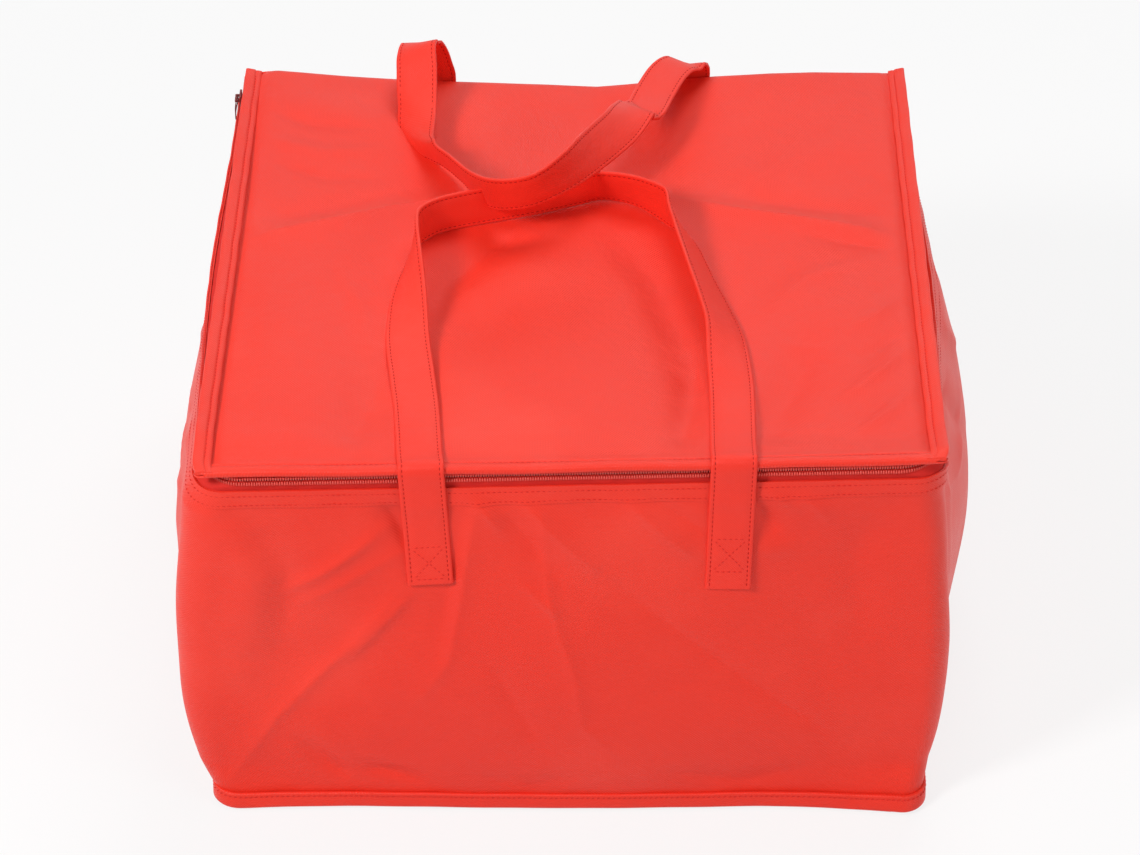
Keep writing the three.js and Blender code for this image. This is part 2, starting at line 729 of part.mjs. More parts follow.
function frontOutside(x, z) {
  const cornerX = halfWidth(z, cornerRadius - baseDepth / 2) - cornerRadius;
  const wall = baseDepth / 2 + frontSwell * swellShare(z, 1) * bell(x / cornerX);
  return wall + (z < hemLow ? layerGap * 2 : overHem);
}

function rearOutside(x, z) {
  return backFace(x, z) + layerGap;
}

[-1, 1].forEach((side) => {
  const word = side < 0 ? "left" : "right";
  const frontX = frontOffset + (side * frontSpacing) / 2;
  const rearX = rearOffset + (side * rearSpacing) / 2;
  addPiece(`front_handle_${word}_end`, strapEnd(frontX, frontOutside, bagHeight, -1), redStrap);
  const rearTop = rearHingeHeight - rearFoldGap;
  addPiece(`rear_handle_${word}_end`, strapEnd(rearX, rearOutside, rearTop, 1), redStrap);
});

export default bag;
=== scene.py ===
# Soft insulated carry bag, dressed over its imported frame: walls, lid, zip, webbing and stitching.
# Shapes are worked out in millimetres and placed in metres.
import math
import bpy
import numpy as np
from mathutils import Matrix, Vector


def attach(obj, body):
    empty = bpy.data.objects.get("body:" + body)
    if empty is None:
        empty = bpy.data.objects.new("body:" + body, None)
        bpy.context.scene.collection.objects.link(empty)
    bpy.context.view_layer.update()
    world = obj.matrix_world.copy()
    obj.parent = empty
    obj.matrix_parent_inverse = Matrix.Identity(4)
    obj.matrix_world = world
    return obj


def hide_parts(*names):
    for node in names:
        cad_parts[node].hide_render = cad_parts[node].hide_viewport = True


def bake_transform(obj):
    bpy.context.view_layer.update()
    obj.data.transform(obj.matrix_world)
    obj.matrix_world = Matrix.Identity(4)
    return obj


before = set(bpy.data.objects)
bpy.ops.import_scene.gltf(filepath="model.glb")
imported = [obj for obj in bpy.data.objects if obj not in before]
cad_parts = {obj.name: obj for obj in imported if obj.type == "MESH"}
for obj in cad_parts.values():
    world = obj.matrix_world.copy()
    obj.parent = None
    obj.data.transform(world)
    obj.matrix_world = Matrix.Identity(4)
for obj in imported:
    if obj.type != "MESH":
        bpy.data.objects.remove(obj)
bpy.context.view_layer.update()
mm = 0.001
print("frame loaded,", len(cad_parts), "nodes")

# Camera, at the photograph's angle
view = {"place": (0, -2.2726, 1.8511), "tilt": 53, "lens": 133.9}
bpy.ops.object.camera_add(location=view["place"], rotation=(math.radians(view["tilt"]), 0, 0))
bpy.context.object.data.lens = view["lens"]
bpy.context.object.data.clip_end = 30
bpy.context.scene.camera = bpy.context.object

# Main sizes of the bag, the same as the frame's
bag = {
    "height": 278, "lidWidth": 457, "lidFront": -224, "rearFace": 224.5,
    "baseWidth": 447, "rimWidth": 458, "depth": 446, "corner": 20, "footCorner": 13, "mouthTop": 262,
    "sideSwell": 29, "frontSpread": 19, "frontSwell": 12, "backSwell": 8, "lidSag": 9, "power": 0.72,
}
# How the soft bag has settled: the front top edge slopes, the lid is askew and the foot is pulled out
settling = {"frontSlope": 5.5, "lidAtFront": 0.2, "lidAtRear": 3.5, "lidSpread": 0.013, "footRight": 7.5,
            "footLeft": 3, "leftOut": 5.5, "rightIn": 3.5}
halfDepth = bag["depth"] / 2


def only(piece):
    bpy.ops.object.select_all(action="DESELECT")
    piece.select_set(True)
    bpy.context.view_layer.objects.active = piece


def added(name, data):
    piece = bpy.data.objects.new(name, data)
    bpy.context.scene.collection.objects.link(piece)
    only(piece)
    return piece


# Adds a modifier with these values and applies it
def reshaped(piece, kind, **values):
    modifier = piece.modifiers.new(kind.title(), kind)
    for key, value in values.items():
        setattr(modifier, key, value)
    only(piece)
    bpy.ops.object.modifier_apply(modifier=modifier.name)


# The model just added, with its scale put into its mesh
def scaledModel():
    bpy.ops.object.transform_apply(location=False, rotation=False, scale=True)
    return bpy.context.object


def smoothUnder(degrees):
    bpy.ops.object.shade_smooth_by_angle(angle=math.radians(degrees))


# Goes into edit mode, with the points that lie within the gap made one
def welded(piece, gap):
    only(piece)
    bpy.ops.object.mode_set(mode="EDIT")
    bpy.ops.mesh.select_all(action="SELECT")
    bpy.ops.mesh.remove_doubles(threshold=gap * mm)


def mixed(low, high, share):
    return low + (high - low) * share


def within(value, low=0, high=1):
    return np.clip(value, low, high)


def eased(share):
    return share * share * (3 - 2 * share)


def bell(share):
    return np.cos(within(np.abs(share)) * math.pi / 2) ** 2


def unit(rows):
    return rows / np.linalg.norm(rows, axis=1, keepdims=True)


# The length of a line up to each of its points
def reachOf(line):
    return np.concatenate([[0], np.cumsum(np.linalg.norm(np.diff(line, axis=0), axis=1))])


# Columns side by side; a single number fills its whole column
def abreast(*columns):
    return np.stack(np.broadcast_arrays(*columns), 1).astype(float)


def settled(places, askew=0):
    x, y, z = places.T
    front = eased(within((-188 - y) / 34)) * within((z - 40) / 210)
    foot = within((34 - z) / 30) * within((-150 - y) / 60)
    pulled = settling["footRight"] * within((x - 120) / 95) ** 1.5
    pulled = pulled + settling["footLeft"] * within((-x - 130) / 80) ** 1.5
    back = within((y + 224) / 448)
    aside = mixed(settling["lidAtFront"], settling["lidAtRear"], back) + settling["lidSpread"] * x * (1 - back)
    return abreast(x + askew * aside, y - foot * pulled, z + settling["frontSlope"] * x / 229 * front)


# A flat grid is added, then each of its points is moved onto the surface. Its UV map is in metres: it comes
# from the surface, or else from the flat size.
def clothFrom(name, columns, rows, surface, flatSize=(1, 1), askew=0):
    bpy.ops.mesh.primitive_grid_add(x_subdivisions=columns, y_subdivisions=rows, size=1)
    piece = bpy.context.object
    piece.name = piece.data.name = name
    points = np.empty(len(piece.data.vertices) * 3)
    piece.data.vertices.foreach_get("co", points)
    across, up, _ = points.reshape(-1, 3).T + 0.5
    made = surface(across, up)
    piece.data.vertices.foreach_set("co", (settled(np.stack(made[:3], 1), askew) * mm).ravel())
    corners = np.empty(len(piece.data.loops), int)
    piece.data.loops.foreach_get("vertex_index", corners)
    flat = made[3:5] if len(made) > 3 else (across * flatSize[0], up * flatSize[1])
    piece.data.uv_layers.active.data.foreach_set("uv", (np.stack(flat, 1)[corners] * mm).ravel())
    piece.data.update()
    return piece


def thicken(piece, thickness):
    reshaped(piece, "SOLIDIFY", thickness=thickness * mm, offset=-1)
    smoothUnder(50)
    return piece


# A closed section carried along a line of places, with its ends filled
def bandFrom(name, places, sideways, upward, section, askew=0):
    ring = np.array([*section, section[0]], float)
    around, reach = reachOf(ring), reachOf(places)

    def surface(along, turn):
        step = np.rint(along * (len(places) - 1)).astype(int)
        spot = np.rint(turn * len(section)).astype(int)
        made = places[step] + sideways[step] * ring[spot, 0:1] + upward[step] * ring[spot, 1:2]
        return *made.T, reach[step], around[spot]

    piece = clothFrom(name, len(places) - 1, len(section), surface, askew=askew)
    welded(piece, 0.01)
    bpy.ops.mesh.fill_holes(sides=0)
    bpy.ops.mesh.select_all(action="SELECT")
    bpy.ops.mesh.normals_make_consistent(inside=False)
    bpy.ops.object.mode_set(mode="OBJECT")
    smoothUnder(50)
    return piece


# Copies of one small model, set along places as one piece; the model lies along X
def rowFrom(name, model, places, along, upward, askew=0):
    points = np.array([corner.co for corner in model.data.vertices]) / mm
    faces = [list(face.vertices) for face in model.data.polygons]
    bpy.data.objects.remove(model)
    along = unit(along)
    side = unit(np.cross(upward, along))
    axes = np.stack([along, side, np.cross(along, side)], 1)
    spots = settled(places, askew)[:, None, :] + np.einsum("pk,nkd->npd", points, axes)
    copies = [[corner + n * len(points) for corner in face] for n in range(len(places)) for face in faces]
    mesh = bpy.data.meshes.new(name)
    mesh.from_pydata((spots.reshape(-1, 3) * mm).tolist(), [], copies)
    piece = added(name, mesh)
    smoothUnder(60)
    return piece


def joined(name, pieces):
    only(pieces[0])
    for piece in pieces[1:]:
        piece.select_set(True)
    bpy.ops.object.join()
    pieces[0].name = pieces[0].data.name = name
    return pieces[0]


# A crease along a line of points, deepest in the middle of the line; a sharpness of 1 gives a keen ridge
def crease(across, up, line, width, rise, sharpness=2.0):
    line = np.array(line, float)
    reach = reachOf(line)
    nearest, share = np.full(across.shape, 1e9), np.zeros(across.shape)
    for (x0, y0), (x1, y1), low, high in zip(line, line[1:], reach, reach[1:]):
        t = within(((across - x0) * (x1 - x0) + (up - y0) * (y1 - y0)) / (high - low) ** 2)
        away = np.hypot(across - mixed(x0, x1, t), up - mixed(y0, y1, t))
        share = np.where(away < nearest, mixed(low, high, t) / reach[-1], share)
        nearest = np.minimum(nearest, away)
    fade = np.sin(math.pi * within(share, 0.03, 0.97)) ** 0.5
    return rise * np.exp(-(nearest / width) ** sharpness) * fade


# A round swelling or hollow
def dent(across, up, middle, size, rise):
    away = ((across - middle[0]) / size[0]) ** 2 + ((up - middle[1]) / size[1]) ** 2
    return rise * np.exp(-away)


# Slow unevenness of soft cloth
def unevenness(across, up, span, rise, start=0.0):
    turns = [(1, 0.35, 0.4), (0.45, -0.9, 1.9), (-0.7, 0.75, 3.1), (1.35, 0.6, 4.4), (-0.3, 1.5, 5.6)]
    waves = [np.sin(2 * math.pi * (across * flat + up * tall) / span + phase + start) for flat, tall, phase in turns]
    return rise * sum(waves) / len(turns)


def smoothLine(stops, pieces=10):
    stops = np.array(stops, float)
    ends = np.vstack([2 * stops[0] - stops[1], stops, 2 * stops[-1] - stops[-2]])
    t = np.linspace(0, 1, pieces, endpoint=False)[:, None]
    runs = []
    for a, b, c, d in zip(ends[:-3], ends[1:-2], ends[2:-1], ends[3:]):
        runs.append(0.5 * (2 * b + (c - a) * t + (2 * a - 5 * b + 4 * c - d) * t ** 2
                           + (3 * b - a - 3 * c + d) * t ** 3))
    return np.vstack(runs + [stops[-1:]])


# The same line with its points a set distance apart, measured on its first three columns
def evenly(line, spacing):
    reach = reachOf(line[:, :3])
    marks = np.linspace(0, reach[-1], max(int(round(reach[-1] / spacing)), 1) + 1)
    return np.stack([np.interp(marks, reach, column) for column in line.T], 1)


def headings(places):
    return unit(np.gradient(places, axis=0))


# Finishes. A Wire is a socket that takes part in sums.
class Wire:
    def __init__(self, finish, socket):
        self.finish = finish
        self.socket = socket

    def sum(self, kind, *others):
        return self.finish.add("ShaderNodeMath", {"operation": kind}, self, *others)

    def __add__(self, other):
        return self.sum("ADD", other)

    def __sub__(self, other):
        return self.sum("SUBTRACT", other)

    def __mul__(self, other):
        return self.sum("MULTIPLY", other)

    def wave(self):
        return self.sum("SINE")

    def limited(self):
        return self.finish.add("ShaderNodeClamp", {}, self, 0, 1)


# The nodes of a material, or of another owner
class Finish:
    def __init__(self, name, owner=None):
        self.owner = owner or bpy.data.materials.new(name)
        self.owner.use_nodes = True
        self.nodes = self.owner.node_tree.nodes

    def connect(self, socket, value):
        if isinstance(value, Wire):
            self.owner.node_tree.links.new(value.socket, socket)
        elif value is not None:
            socket.default_value = value

    def fill(self, node, named):
        for key, value in named.items():
            self.connect(node.inputs[key.replace("_", " ")], value)

    def add(self, kind, settings, *values, output=0, **named):
        node = self.nodes.new(kind)
        for key, value in settings.items():
            setattr(node, key, value)
        for socket, value in zip(node.inputs, values):
            self.connect(socket, value)
        self.fill(node, named)
        return Wire(self, node.outputs[output])

    # Each colour is a wire, or red, green and blue up to 255
    def blendColours(self, share, *colours):
        values = [value if isinstance(value, Wire) else colour(*value) for value in colours]
        return self.add("ShaderNodeMix", {"data_type": "RGBA"}, share, *[None] * 5, *values, output=2)

    def noise(self, where, scale, detail=3):
        return self.add("ShaderNodeTexNoise", {}, Vector=where, Scale=scale, Detail=detail, Roughness=0.55)

    def cells(self, where, scale):
        return self.add("ShaderNodeTexVoronoi", {"feature": "F1"}, Vector=where, Scale=scale)

    def place(self):
        return self.add("ShaderNodeTexCoord", {}, output="Object")

    # Small diamonds over the flat cloth
    def weave(self, pitch):
        node = self.nodes.new("ShaderNodeSeparateXYZ")
        self.connect(node.inputs[0], self.add("ShaderNodeUVMap", {}))
        across, up = (Wire(self, socket) * (2 * math.pi / (pitch * mm)) for socket in node.outputs[:2])
        return (across.wave() * up.wave() + 1) * 0.5

    def bump(self, height, distance, strength=1.0, under=None):
        return self.add("ShaderNodeBump", {}, Strength=strength, Distance=distance, Height=height, Normal=under)

    # The shares of several kinds of ray, added up
    def rays(self, *kinds):
        outputs = self.nodes.new("ShaderNodeLightPath").outputs
        shares = [Wire(self, outputs[f"Is {kind} Ray"]) for kind in kinds]
        return sum(shares[1:], shares[0])

    def shade(self, **sockets):
        self.fill(self.nodes["Principled BSDF"], sockets)
        return self.owner


def colour(red, green, blue):
    def linear(value):
        value /= 255
        return value / 12.92 if value <= 0.04045 else ((value + 0.055) / 1.055) ** 2.4
    return (linear(red), linear(green), linear(blue), 1)


# Coated cloth: a fine pressed grid of small diamonds, slow colour change, and a soft sheen, partly from the shader and
# partly painted: painted sheen in broad pale patches, painted highlights on the grid and fine specks
def clothFinish(name, main, deep, pale, grid=1.9, pressed=0.0002, rough=0.4):
    finish = Finish(name)
    place, weave = finish.place(), finish.weave(grid)
    broad, fine, specks = finish.noise(place, 7, 3), finish.noise(place, 60, 4), finish.noise(place, 900, 2)
    tone = ((broad - 0.5) * 1.1 + (fine - 0.5) * 0.5 + 0.5).limited()
    base = finish.blendColours(tone, deep, main)
    # Painted sheen: the colour turns pale in broad random patches, as if lit
    paintedSheen = finish.blendColours(((broad - 0.55) * 2.2).limited() * 0.5, base, pale)
    # Painted highlights: the pressed grid and fine specks are painted pale, as glints on them
    paintedGlints = finish.blendColours((weave * 0.24 + specks * 0.12 - 0.09).limited(), paintedSheen, pale)
    crinkle = finish.bump(fine, 0.0011, 0.55)
    pattern = finish.bump(weave + specks * 0.4, pressed, 1.0, crinkle)
    return finish.shade(Base_Color=paintedGlints, Roughness=(weave * -0.1 + fine * 0.12 + rough).limited(),
                        Normal=pattern, Specular_IOR_Level=0.29, Sheen_Weight=0.04,
                        Sheen_Roughness=0.5, Sheen_Tint=(1, 0.62, 0.58, 1))


def wovenFinish(name, main, deep, pitch=0.9, rough=0.75):
    finish = Finish(name)
    rows, tone = finish.weave(pitch), finish.noise(finish.place(), 240)
    base = finish.blendColours((rows * 0.6 + tone * 0.5 - 0.1).limited(), deep, main)
    return finish.shade(Base_Color=base, Roughness=(tone * 0.2 + (rough - 0.1)).limited(),
                        Normal=finish.bump(rows, 0.00015), Specular_IOR_Level=0.3)


def plasticFinish(name, main, deep, rough=0.4, metal=0.0, grain=700, shine=0.5):
    finish = Finish(name)
    tone = finish.noise(finish.place(), grain)
    return finish.shade(Base_Color=finish.blendColours(tone, deep, main), Metallic=metal,
                        Roughness=(tone * 0.18 + (rough - 0.09)).limited(),
                        Normal=finish.bump(tone, 0.00003), Specular_IOR_Level=shine)


def foilFinish():
    finish = Finish("wrinkled silver film")
    place = finish.place()
    soft = finish.noise(place, 35, 5)
    base = finish.blendColours(soft, (150, 153, 158), (200, 203, 208))
    return finish.shade(Base_Color=base, Roughness=(soft * 0.3 + 0.16).limited(), Metallic=0.85,
                        Normal=finish.bump(finish.cells(place, 60) * 0.6 + soft, 0.0015, 0.8))


def foamFinish():
    finish = Finish("white foam")
    place = finish.place()
    tone = finish.noise(place, 90)
    base = finish.blendColours(tone, (224, 223, 218), (244, 244, 240))
    return finish.shade(Base_Color=base, Roughness=(tone * 0.1 + 0.85).limited(),
                        Normal=finish.bump(finish.cells(place, 1400), 0.0002))


# Each look is a finish with a slot name, which the script does not use
redCloth = (clothFinish("red coated cloth", (239, 50, 28), (229, 40, 22), (248, 84, 70)), "red_cloth")
redStrap = (clothFinish("red strap cloth", (244, 51, 30), (235, 41, 24), (250, 84, 70), grid=1.7, rough=0.44),
            "red_webbing")
redTape = (wovenFinish("red zip tape", (232, 52, 42), (210, 38, 32)), "zip_red")
# The zip teeth are painted paler than the tape, a painted highlight on the coil
highlightedTeeth = (plasticFinish("red zip teeth", (240, 96, 84), (222, 66, 56), rough=0.3), "zip_red")
redThread = (plasticFinish("dark red thread", (196, 26, 22), (168, 16, 18), rough=0.8, shine=0.1), "red_webbing")
seamThread = (plasticFinish("red seam thread", (222, 48, 40), (206, 34, 30), rough=0.7, shine=0.2), "red_cloth")
crossThread = (seamThread[0], "red_webbing")
silverFoil = (foilFinish(), "silver_foil")
whiteFoam = (foamFinish(), "white_foam")
greyBoard = plasticFinish("grey board", (150, 152, 155), (128, 130, 133), rough=0.6)
darkMetal = (plasticFinish("dark painted metal", (134, 38, 36), (106, 28, 28), rough=0.4, metal=0.3), "dark_metal")
darkWire = (plasticFinish("dark coated wire", (112, 34, 34), (84, 24, 26), rough=0.6, shine=0.2), "dark_cord")
print("finishes made")


# A piece rides on the one body named; a bend given as body, body, start and end of the bend is not used, and the piece
# is only baked where it stands
def dressed(piece, look, body, *replacing):
    piece.data.materials.clear()
    piece.data.materials.append(look[0])
    if replacing:
        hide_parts(*replacing)
    if isinstance(body, str):
        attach(piece, body)
    else:
        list(body[:2])
        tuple(body[2])
        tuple(body[3])
        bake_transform(piece)


# Each row holds what the maker needs, then a look and the node that the piece stands for
def dressedAll(maker, body, rows):
    for *values, look, node in rows:
        dressed(maker(*values), look, body, node)


# The plan of the walls: a run of 0 to 1 goes from the rear left corner round the front to the rear right
def swellAt(z, reach):
    return np.sin(math.pi * reach * within(z / bag["mouthTop"]) ** bag["power"])


def halfWidthAt(z, y):
    straight = mixed(bag["baseWidth"], bag["rimWidth"], within(z / bag["mouthTop"])) / 2
    spread = bag["frontSpread"] * (halfDepth - y) / (2 * halfDepth)
    across = bell(y / (halfDepth - bag["corner"]))
    return straight + swellAt(z, 0.95) * (spread + bag["sideSwell"] * across)


def frontWallY(x, z):
    cornerX = halfWidthAt(z, bag["corner"] - halfDepth) - bag["corner"]
    return -(halfDepth + bag["frontSwell"] * swellAt(z, 1) * bell(x / cornerX))


wallRun = {
    "side": bag["depth"] - bag["corner"],
    "arc": bag["corner"] * math.pi / 2,
    "front": bag["baseWidth"] - 2 * bag["corner"],
}
wallLength = 2 * (wallRun["side"] + wallRun["arc"]) + wallRun["front"]
cornerSeam = {"x": 222.6, "tuck": 10, "back": 1.7}  # the walls' rear ends turn in to it


def wallPlace(run, z, inward=0.0):
    radius = mixed(bag["footCorner"], bag["corner"], within(z / 110) ** 0.8)
    distance = run * wallLength
    sign = np.where(distance <= wallLength / 2, -1.0, 1.0)
    near = np.minimum(distance, wallLength - distance)
    cornerY = radius - halfDepth
    cornerX = halfWidthAt(z, cornerY) - radius
    past = near - wallRun["side"]
    turn = within(past / wallRun["arc"]) * math.pi / 2
    frontX = cornerX * (1 - within((past - wallRun["arc"]) / (wallRun["front"] / 2)))
    onSide, onFront = past < 0, past > wallRun["arc"]
    sideY = mixed(halfDepth, cornerY, within(near / wallRun["side"]))
    outX, outY = np.cos(turn), -np.sin(turn)
    x = np.where(onFront, frontX, np.where(onSide, halfWidthAt(z, sideY), cornerX + radius * outX))
    y = np.where(onSide, sideY, np.where(onFront, frontWallY(frontX, z), cornerY + radius * outY))
    tuck = within(1 - near / cornerSeam["tuck"]) ** 2
    x = mixed(x, cornerSeam["x"], tuck)
    y = y + cornerSeam["back"] * tuck * (np.asarray(inward) < 1)
    out = wallRelief(sign * x, y, z, turn / (math.pi / 2), sign) - inward
    return sign * (x + outX * out), y + outY * out, z, sign * outX, outY


frontFolds = [  # width, rise, sharpness, and points of x and z
    (7, 2.3, 1, (-219, 22), (-186, 81), (-136, 141), (-103, 188)), (5, 1.8, 1.3, (-140, 128), (-118, 158), (-97, 184)),
    (8, -2.6, 1.4, (-171, 60), (-156, 40), (-141, 24)), (8, -2.6, 1.4, (-134, 36), (-112, 30), (-90, 22)),
    (6, 2, 1, (-56, 258), (-64, 210), (-69, 172), (-76, 131), (-92, 102)),
    (9, -1.4, 1.6, (-64, 250), (-74, 196), (-82, 140)), (6, 2.4, 1.4, (-66, 262), (-52, 246), (-42, 230)),
    (8, 2.8, 1.2, (-32, 258), (-12, 232), (8, 209), (22, 196)), (7, -1.8, 1.4, (-40, 244), (-22, 216), (-6, 192)),
    (6, -1.7, 1, (18, 200), (52, 165), (92, 127), (136, 88), (180, 52)),
    (4, 1.5, 1.2, (-31, 192), (-19, 180), (-5, 167)),
    (5, 1.5, 1, (-17, 243), (-15, 208), (-12, 177), (-4, 146), (4, 118), (8, 78), (23, 61)),
    (9, -1.3, 1.4, (-48, 127), (-36, 96), (-20, 62)), (7, 2.4, 1.2, (33, 254), (54, 231), (77, 209)),
    (6, -1.5, 1.4, (48, 256), (70, 236), (86, 224)), (6, 2.4, 1.3, (116, 261), (126, 253), (136, 244)),
    (8, -2.6, 1.4, (112, 246), (120, 236), (129, 222)), (6, 1.5, 1.3, (136, 256), (150, 246), (160, 232)),
    (6, 2.1, 1.2, (-178, 181), (-146, 204), (-115, 231)), (5, 1.1, 1.2, (-168, 171), (-134, 194), (-104, 214)),
    (9, -3.2, 1.5, (-115, 252), (-106, 234), (-99, 214)), (20, 3, 2, (-214, 244), (-196, 196), (-204, 122)),
    (15, -2.2, 1.6, (-196, 236), (-176, 196), (-180, 140)), (16, -1.6, 1.8, (190, 238), (176, 200), (186, 130)),
    (9, -1.5, 1.5, (60, 34), (110, 22), (150, 32)), (9, -1.2, 1.5, (-60, 30), (-30, 20), (0, 28)),
    (15, -1, 1.6, (110, 196), (150, 150), (168, 96)),
]
sideFolds = [  # width, rise, sharpness, and points of y and z
    (12, -3, 1.4, (-190, 240), (-176, 196), (-182, 120)), (12, 2.6, 1.4, (-160, 256), (-136, 206), (-146, 140)),
    (8, -2.2, 1.3, (-178, 232), (-120, 218), (-60, 226)), (10, 1.8, 1.3, (-150, 200), (-90, 176), (-30, 190)),
    (13, -2.8, 1.3, (-90, 256), (-60, 196), (-20, 150)), (8, 2, 1.2, (-30, 250), (-6, 216), (20, 204)),
    (13, -2.6, 1.4, (40, 252), (70, 200), (60, 120)), (10, 2, 1.4, (100, 244), (110, 200), (96, 150)),
    (12, -2.8, 1.4, (150, 248), (140, 180), (170, 90)), (14, 1.8, 1.8, (190, 244), (196, 150), (190, 60)),
    (12, -1.9, 1.5, (-150, 60), (-60, 34), (30, 52)), (12, -1.7, 1.5, (60, 70), (130, 40), (190, 58)),
]


def foldsAt(across, up, folds, strength):
    return sum(crease(across, up, line, width * 0.85, rise * strength, keen) for width, rise, keen, *line in folds)


wallDents = [  # middle, size, rise
    ((-166, 60), (40, 30), 3.2), ((128, 212), (11, 7), 1.4), ((30, 84), (110, 40), 2.2), ((-160, 126), (30, 26), -2.4),
]


def dentsAt(across, up, dents, strength=1.0):
    return sum(dent(across, up, middle, size, rise * strength) for middle, size, rise in dents)


def wallRelief(x, y, z, frontShare, sign):
    front = unevenness(x, z, 150, 1.6) + foldsAt(x, z, frontFolds, 1.5) + dentsAt(x, z, wallDents)
    side = unevenness(y, z, 130, 1.8, 1.3 + sign) + foldsAt(y + 5 * sign, z, sideFolds, 1.3)
    sideways = np.where(sign < 0, settling["leftOut"], -settling["rightIn"])
    side = side + sideways * within((-88 - y) / 70, -1, 1) * within((215 - y) / 40)
    held = within((263 - z) / 20) * within((z - 6) / 26)
    return held * mixed(side, front, eased(frontShare))


# Where the sides, corners and front end on a run round the bag
def endsOf(side, arc, front):
    return np.cumsum([0, side, arc, front, arc, side])


# Columns lie closer together round the corners and over the front; a number is given for each of the three
def wallColumns(sides, corners, front):
    ends = endsOf(**wallRun)
    spans = [np.linspace(low, high, count, endpoint=False)
             for low, high, count in zip(ends, ends[1:], (sides, corners, front, corners, sides))]
    return np.concatenate(spans + [ends[-1:]]) / wallLength


def wallSheet(name, low, high, inward, thickness, columns, rows, wave):
    runs = wallColumns(*columns)
    steps = np.linspace(0, 1, len(runs))

    def surface(across, up):
        run = np.interp(across, steps, runs)
        z = mixed(low, high, up)
        ripple = wave * (np.sin(run * wallLength / 4.7) + np.sin(run * wallLength / 7.9 + 1))
        return *wallPlace(run, z, inward - ripple)[:3], run * wallLength, z
    return thicken(clothFrom(name, len(runs) - 1, rows, surface), thickness)


dressedAll(wallSheet, "bag", [  # name, low, high, inward, thickness, columns, rows, wave
    ("wallCloth", 1.5, bag["mouthTop"], 0, 1.2, (58, 16, 226), 126, 0, redCloth, "front_and_side_wrap"),
    ("mouthHem", 250, 262.6, -0.9, 1, (110, 16, 150), 6, 0.1, redCloth, "top_hem"),
    ("wallFoam", 1.5, 254.4, 1.5, 4, (80, 12, 90), 44, 0, whiteFoam, "wrap_foam"),
])
lining = {"low": 1.5, "rim": 254.6, "top": 256.1, "inward": 5.8, "over": 4, "columns": 240, "rows": 52,
          "thickness": 0.5, "flat": (wallLength, 256)}


# The lining turns outwards over the top of the foam
def liningSurface(run, up):
    wall = mixed(lining["low"], lining["rim"], up / 0.94)
    turned = mixed(lining["rim"], lining["top"], within((up - 0.94) / 0.03))
    inward = lining["inward"] - lining["over"] * within((up - 0.96) / 0.04)
    return wallPlace(run, np.where(up < 0.94, wall, turned), inward)[:3]


wallLining = clothFrom("wallLining", lining["columns"], lining["rows"], liningSurface, lining["flat"])
dressed(thicken(wallLining, lining["thickness"]), silverFoil, "bag", "wrap_foil_liner")
print("walls made")


# The lid sags between its bound edges and is lifted in a soft ridge across it
rearRise = np.array([  # how the lid's rear edge waves: x and rise
    (-226, 1.2), (-216, 3.2), (-206, 5), (-190, 4.6), (-160, 3.4), (-120, 2.5), (-60, 1.8), (-20, 0.8), (16, -1),
    (40, 1), (70, 4), (100, 6), (135, 6.8), (165, 6.2), (195, 4), (226, 1.6),
])


def lidTopZ(x, y):
    across = 1 - within(2 * np.abs(x) / bag["lidWidth"]) ** 2
    along = within((y - bag["lidFront"]) / (bag["rearFace"] - bag["lidFront"]))
    rise = np.interp(x, rearRise[:, 0], rearRise[:, 1]) * eased(within((y - 70) / 150))
    return bag["height"] + rise - bag["lidSag"] * across * mixed(0.15, 1, np.sin(along * math.pi / 2))


lidFolds = [  # width, rise, sharpness, and points of x and y
    (13, 3.4, 1.1, (-216, 20), (-160, 44), (-106, 66), (-60, 84)), (14, -1.9, 1.6, (-214, 42), (-160, 62), (-110, 88)),
    (12, 3.4, 1.1, (60, 80), (110, 58), (160, 42), (217, 22)), (13, -1.9, 1.6, (96, 84), (150, 66), (214, 48)),
    (8, -1.5, 1.3, (150, 30), (184, 18), (216, 8)), (22, -3.8, 2, (30, 46), (56, -16), (70, -84), (76, -150)),
    (18, -3.2, 1.8, (-96, -66), (-80, -20), (-58, 14), (-28, 44)),
    (19, -3, 1.8, (-136, -206), (-124, -150), (-116, -92)), (13, -2, 1.8, (-92, -206), (-86, -150), (-94, -90)),
    (18, -2.6, 1.8, (116, -206), (132, -150), (148, -92)), (13, -2.4, 1.8, (66, -208), (72, -160), (76, -110)),
    (6, 1.5, 1.3, (176, -190), (196, -168), (214, -140)), (7, 1.7, 1.3, (170, -150), (194, -124), (215, -96)),
    (6, -1.3, 1.3, (182, -110), (200, -92), (215, -74)), (7, 1.1, 1.4, (176, -80), (196, -62), (214, -40)),
    (9, -1.2, 1.5, (-214, 176), (-180, 160), (-140, 158)), (9, 1.1, 1.5, (-210, 140), (-170, 128), (-130, 134)),
    (8, -0.9, 1.5, (-200, 112), (-165, 98), (-130, 102)), (20, 1.4, 2, (200, 150), (150, 118), (110, 90)),
    (24, 1.4, 2, (-190, 190), (-120, 150), (-60, 70)), (8, 1, 1.3, (-150, -10), (-132, -60), (-126, -100)),
    (9, 1, 1.5, (120, -60), (150, -20), (196, 0)),
]
lidHollows = [  # middle, size, rise
    ((-32, -4), (30, 26), 2.6), ((0, -120), (60, 90), 2.0), ((-178, -80), (42, 90), 1.8),
    ((176, -60), (34, 70), 1.2), ((0, 150), (110, 50), -1.4), ((52, 130), (22, 40), -2.0),
    ((-96, 120), (20, 34), -2.2), ((-60, -60), (26, 40), -1.8),
]


def lidRelief(x, y):
    relief = unevenness(x, y, 170, 1.0, 2.0) + foldsAt(x, y, lidFolds, 1.6) + dentsAt(x, y, lidHollows, 1.4)
    return relief * within((214 - np.abs(x)) / 20) * within((y + 216) / 26) * within((222 - y) / 30)


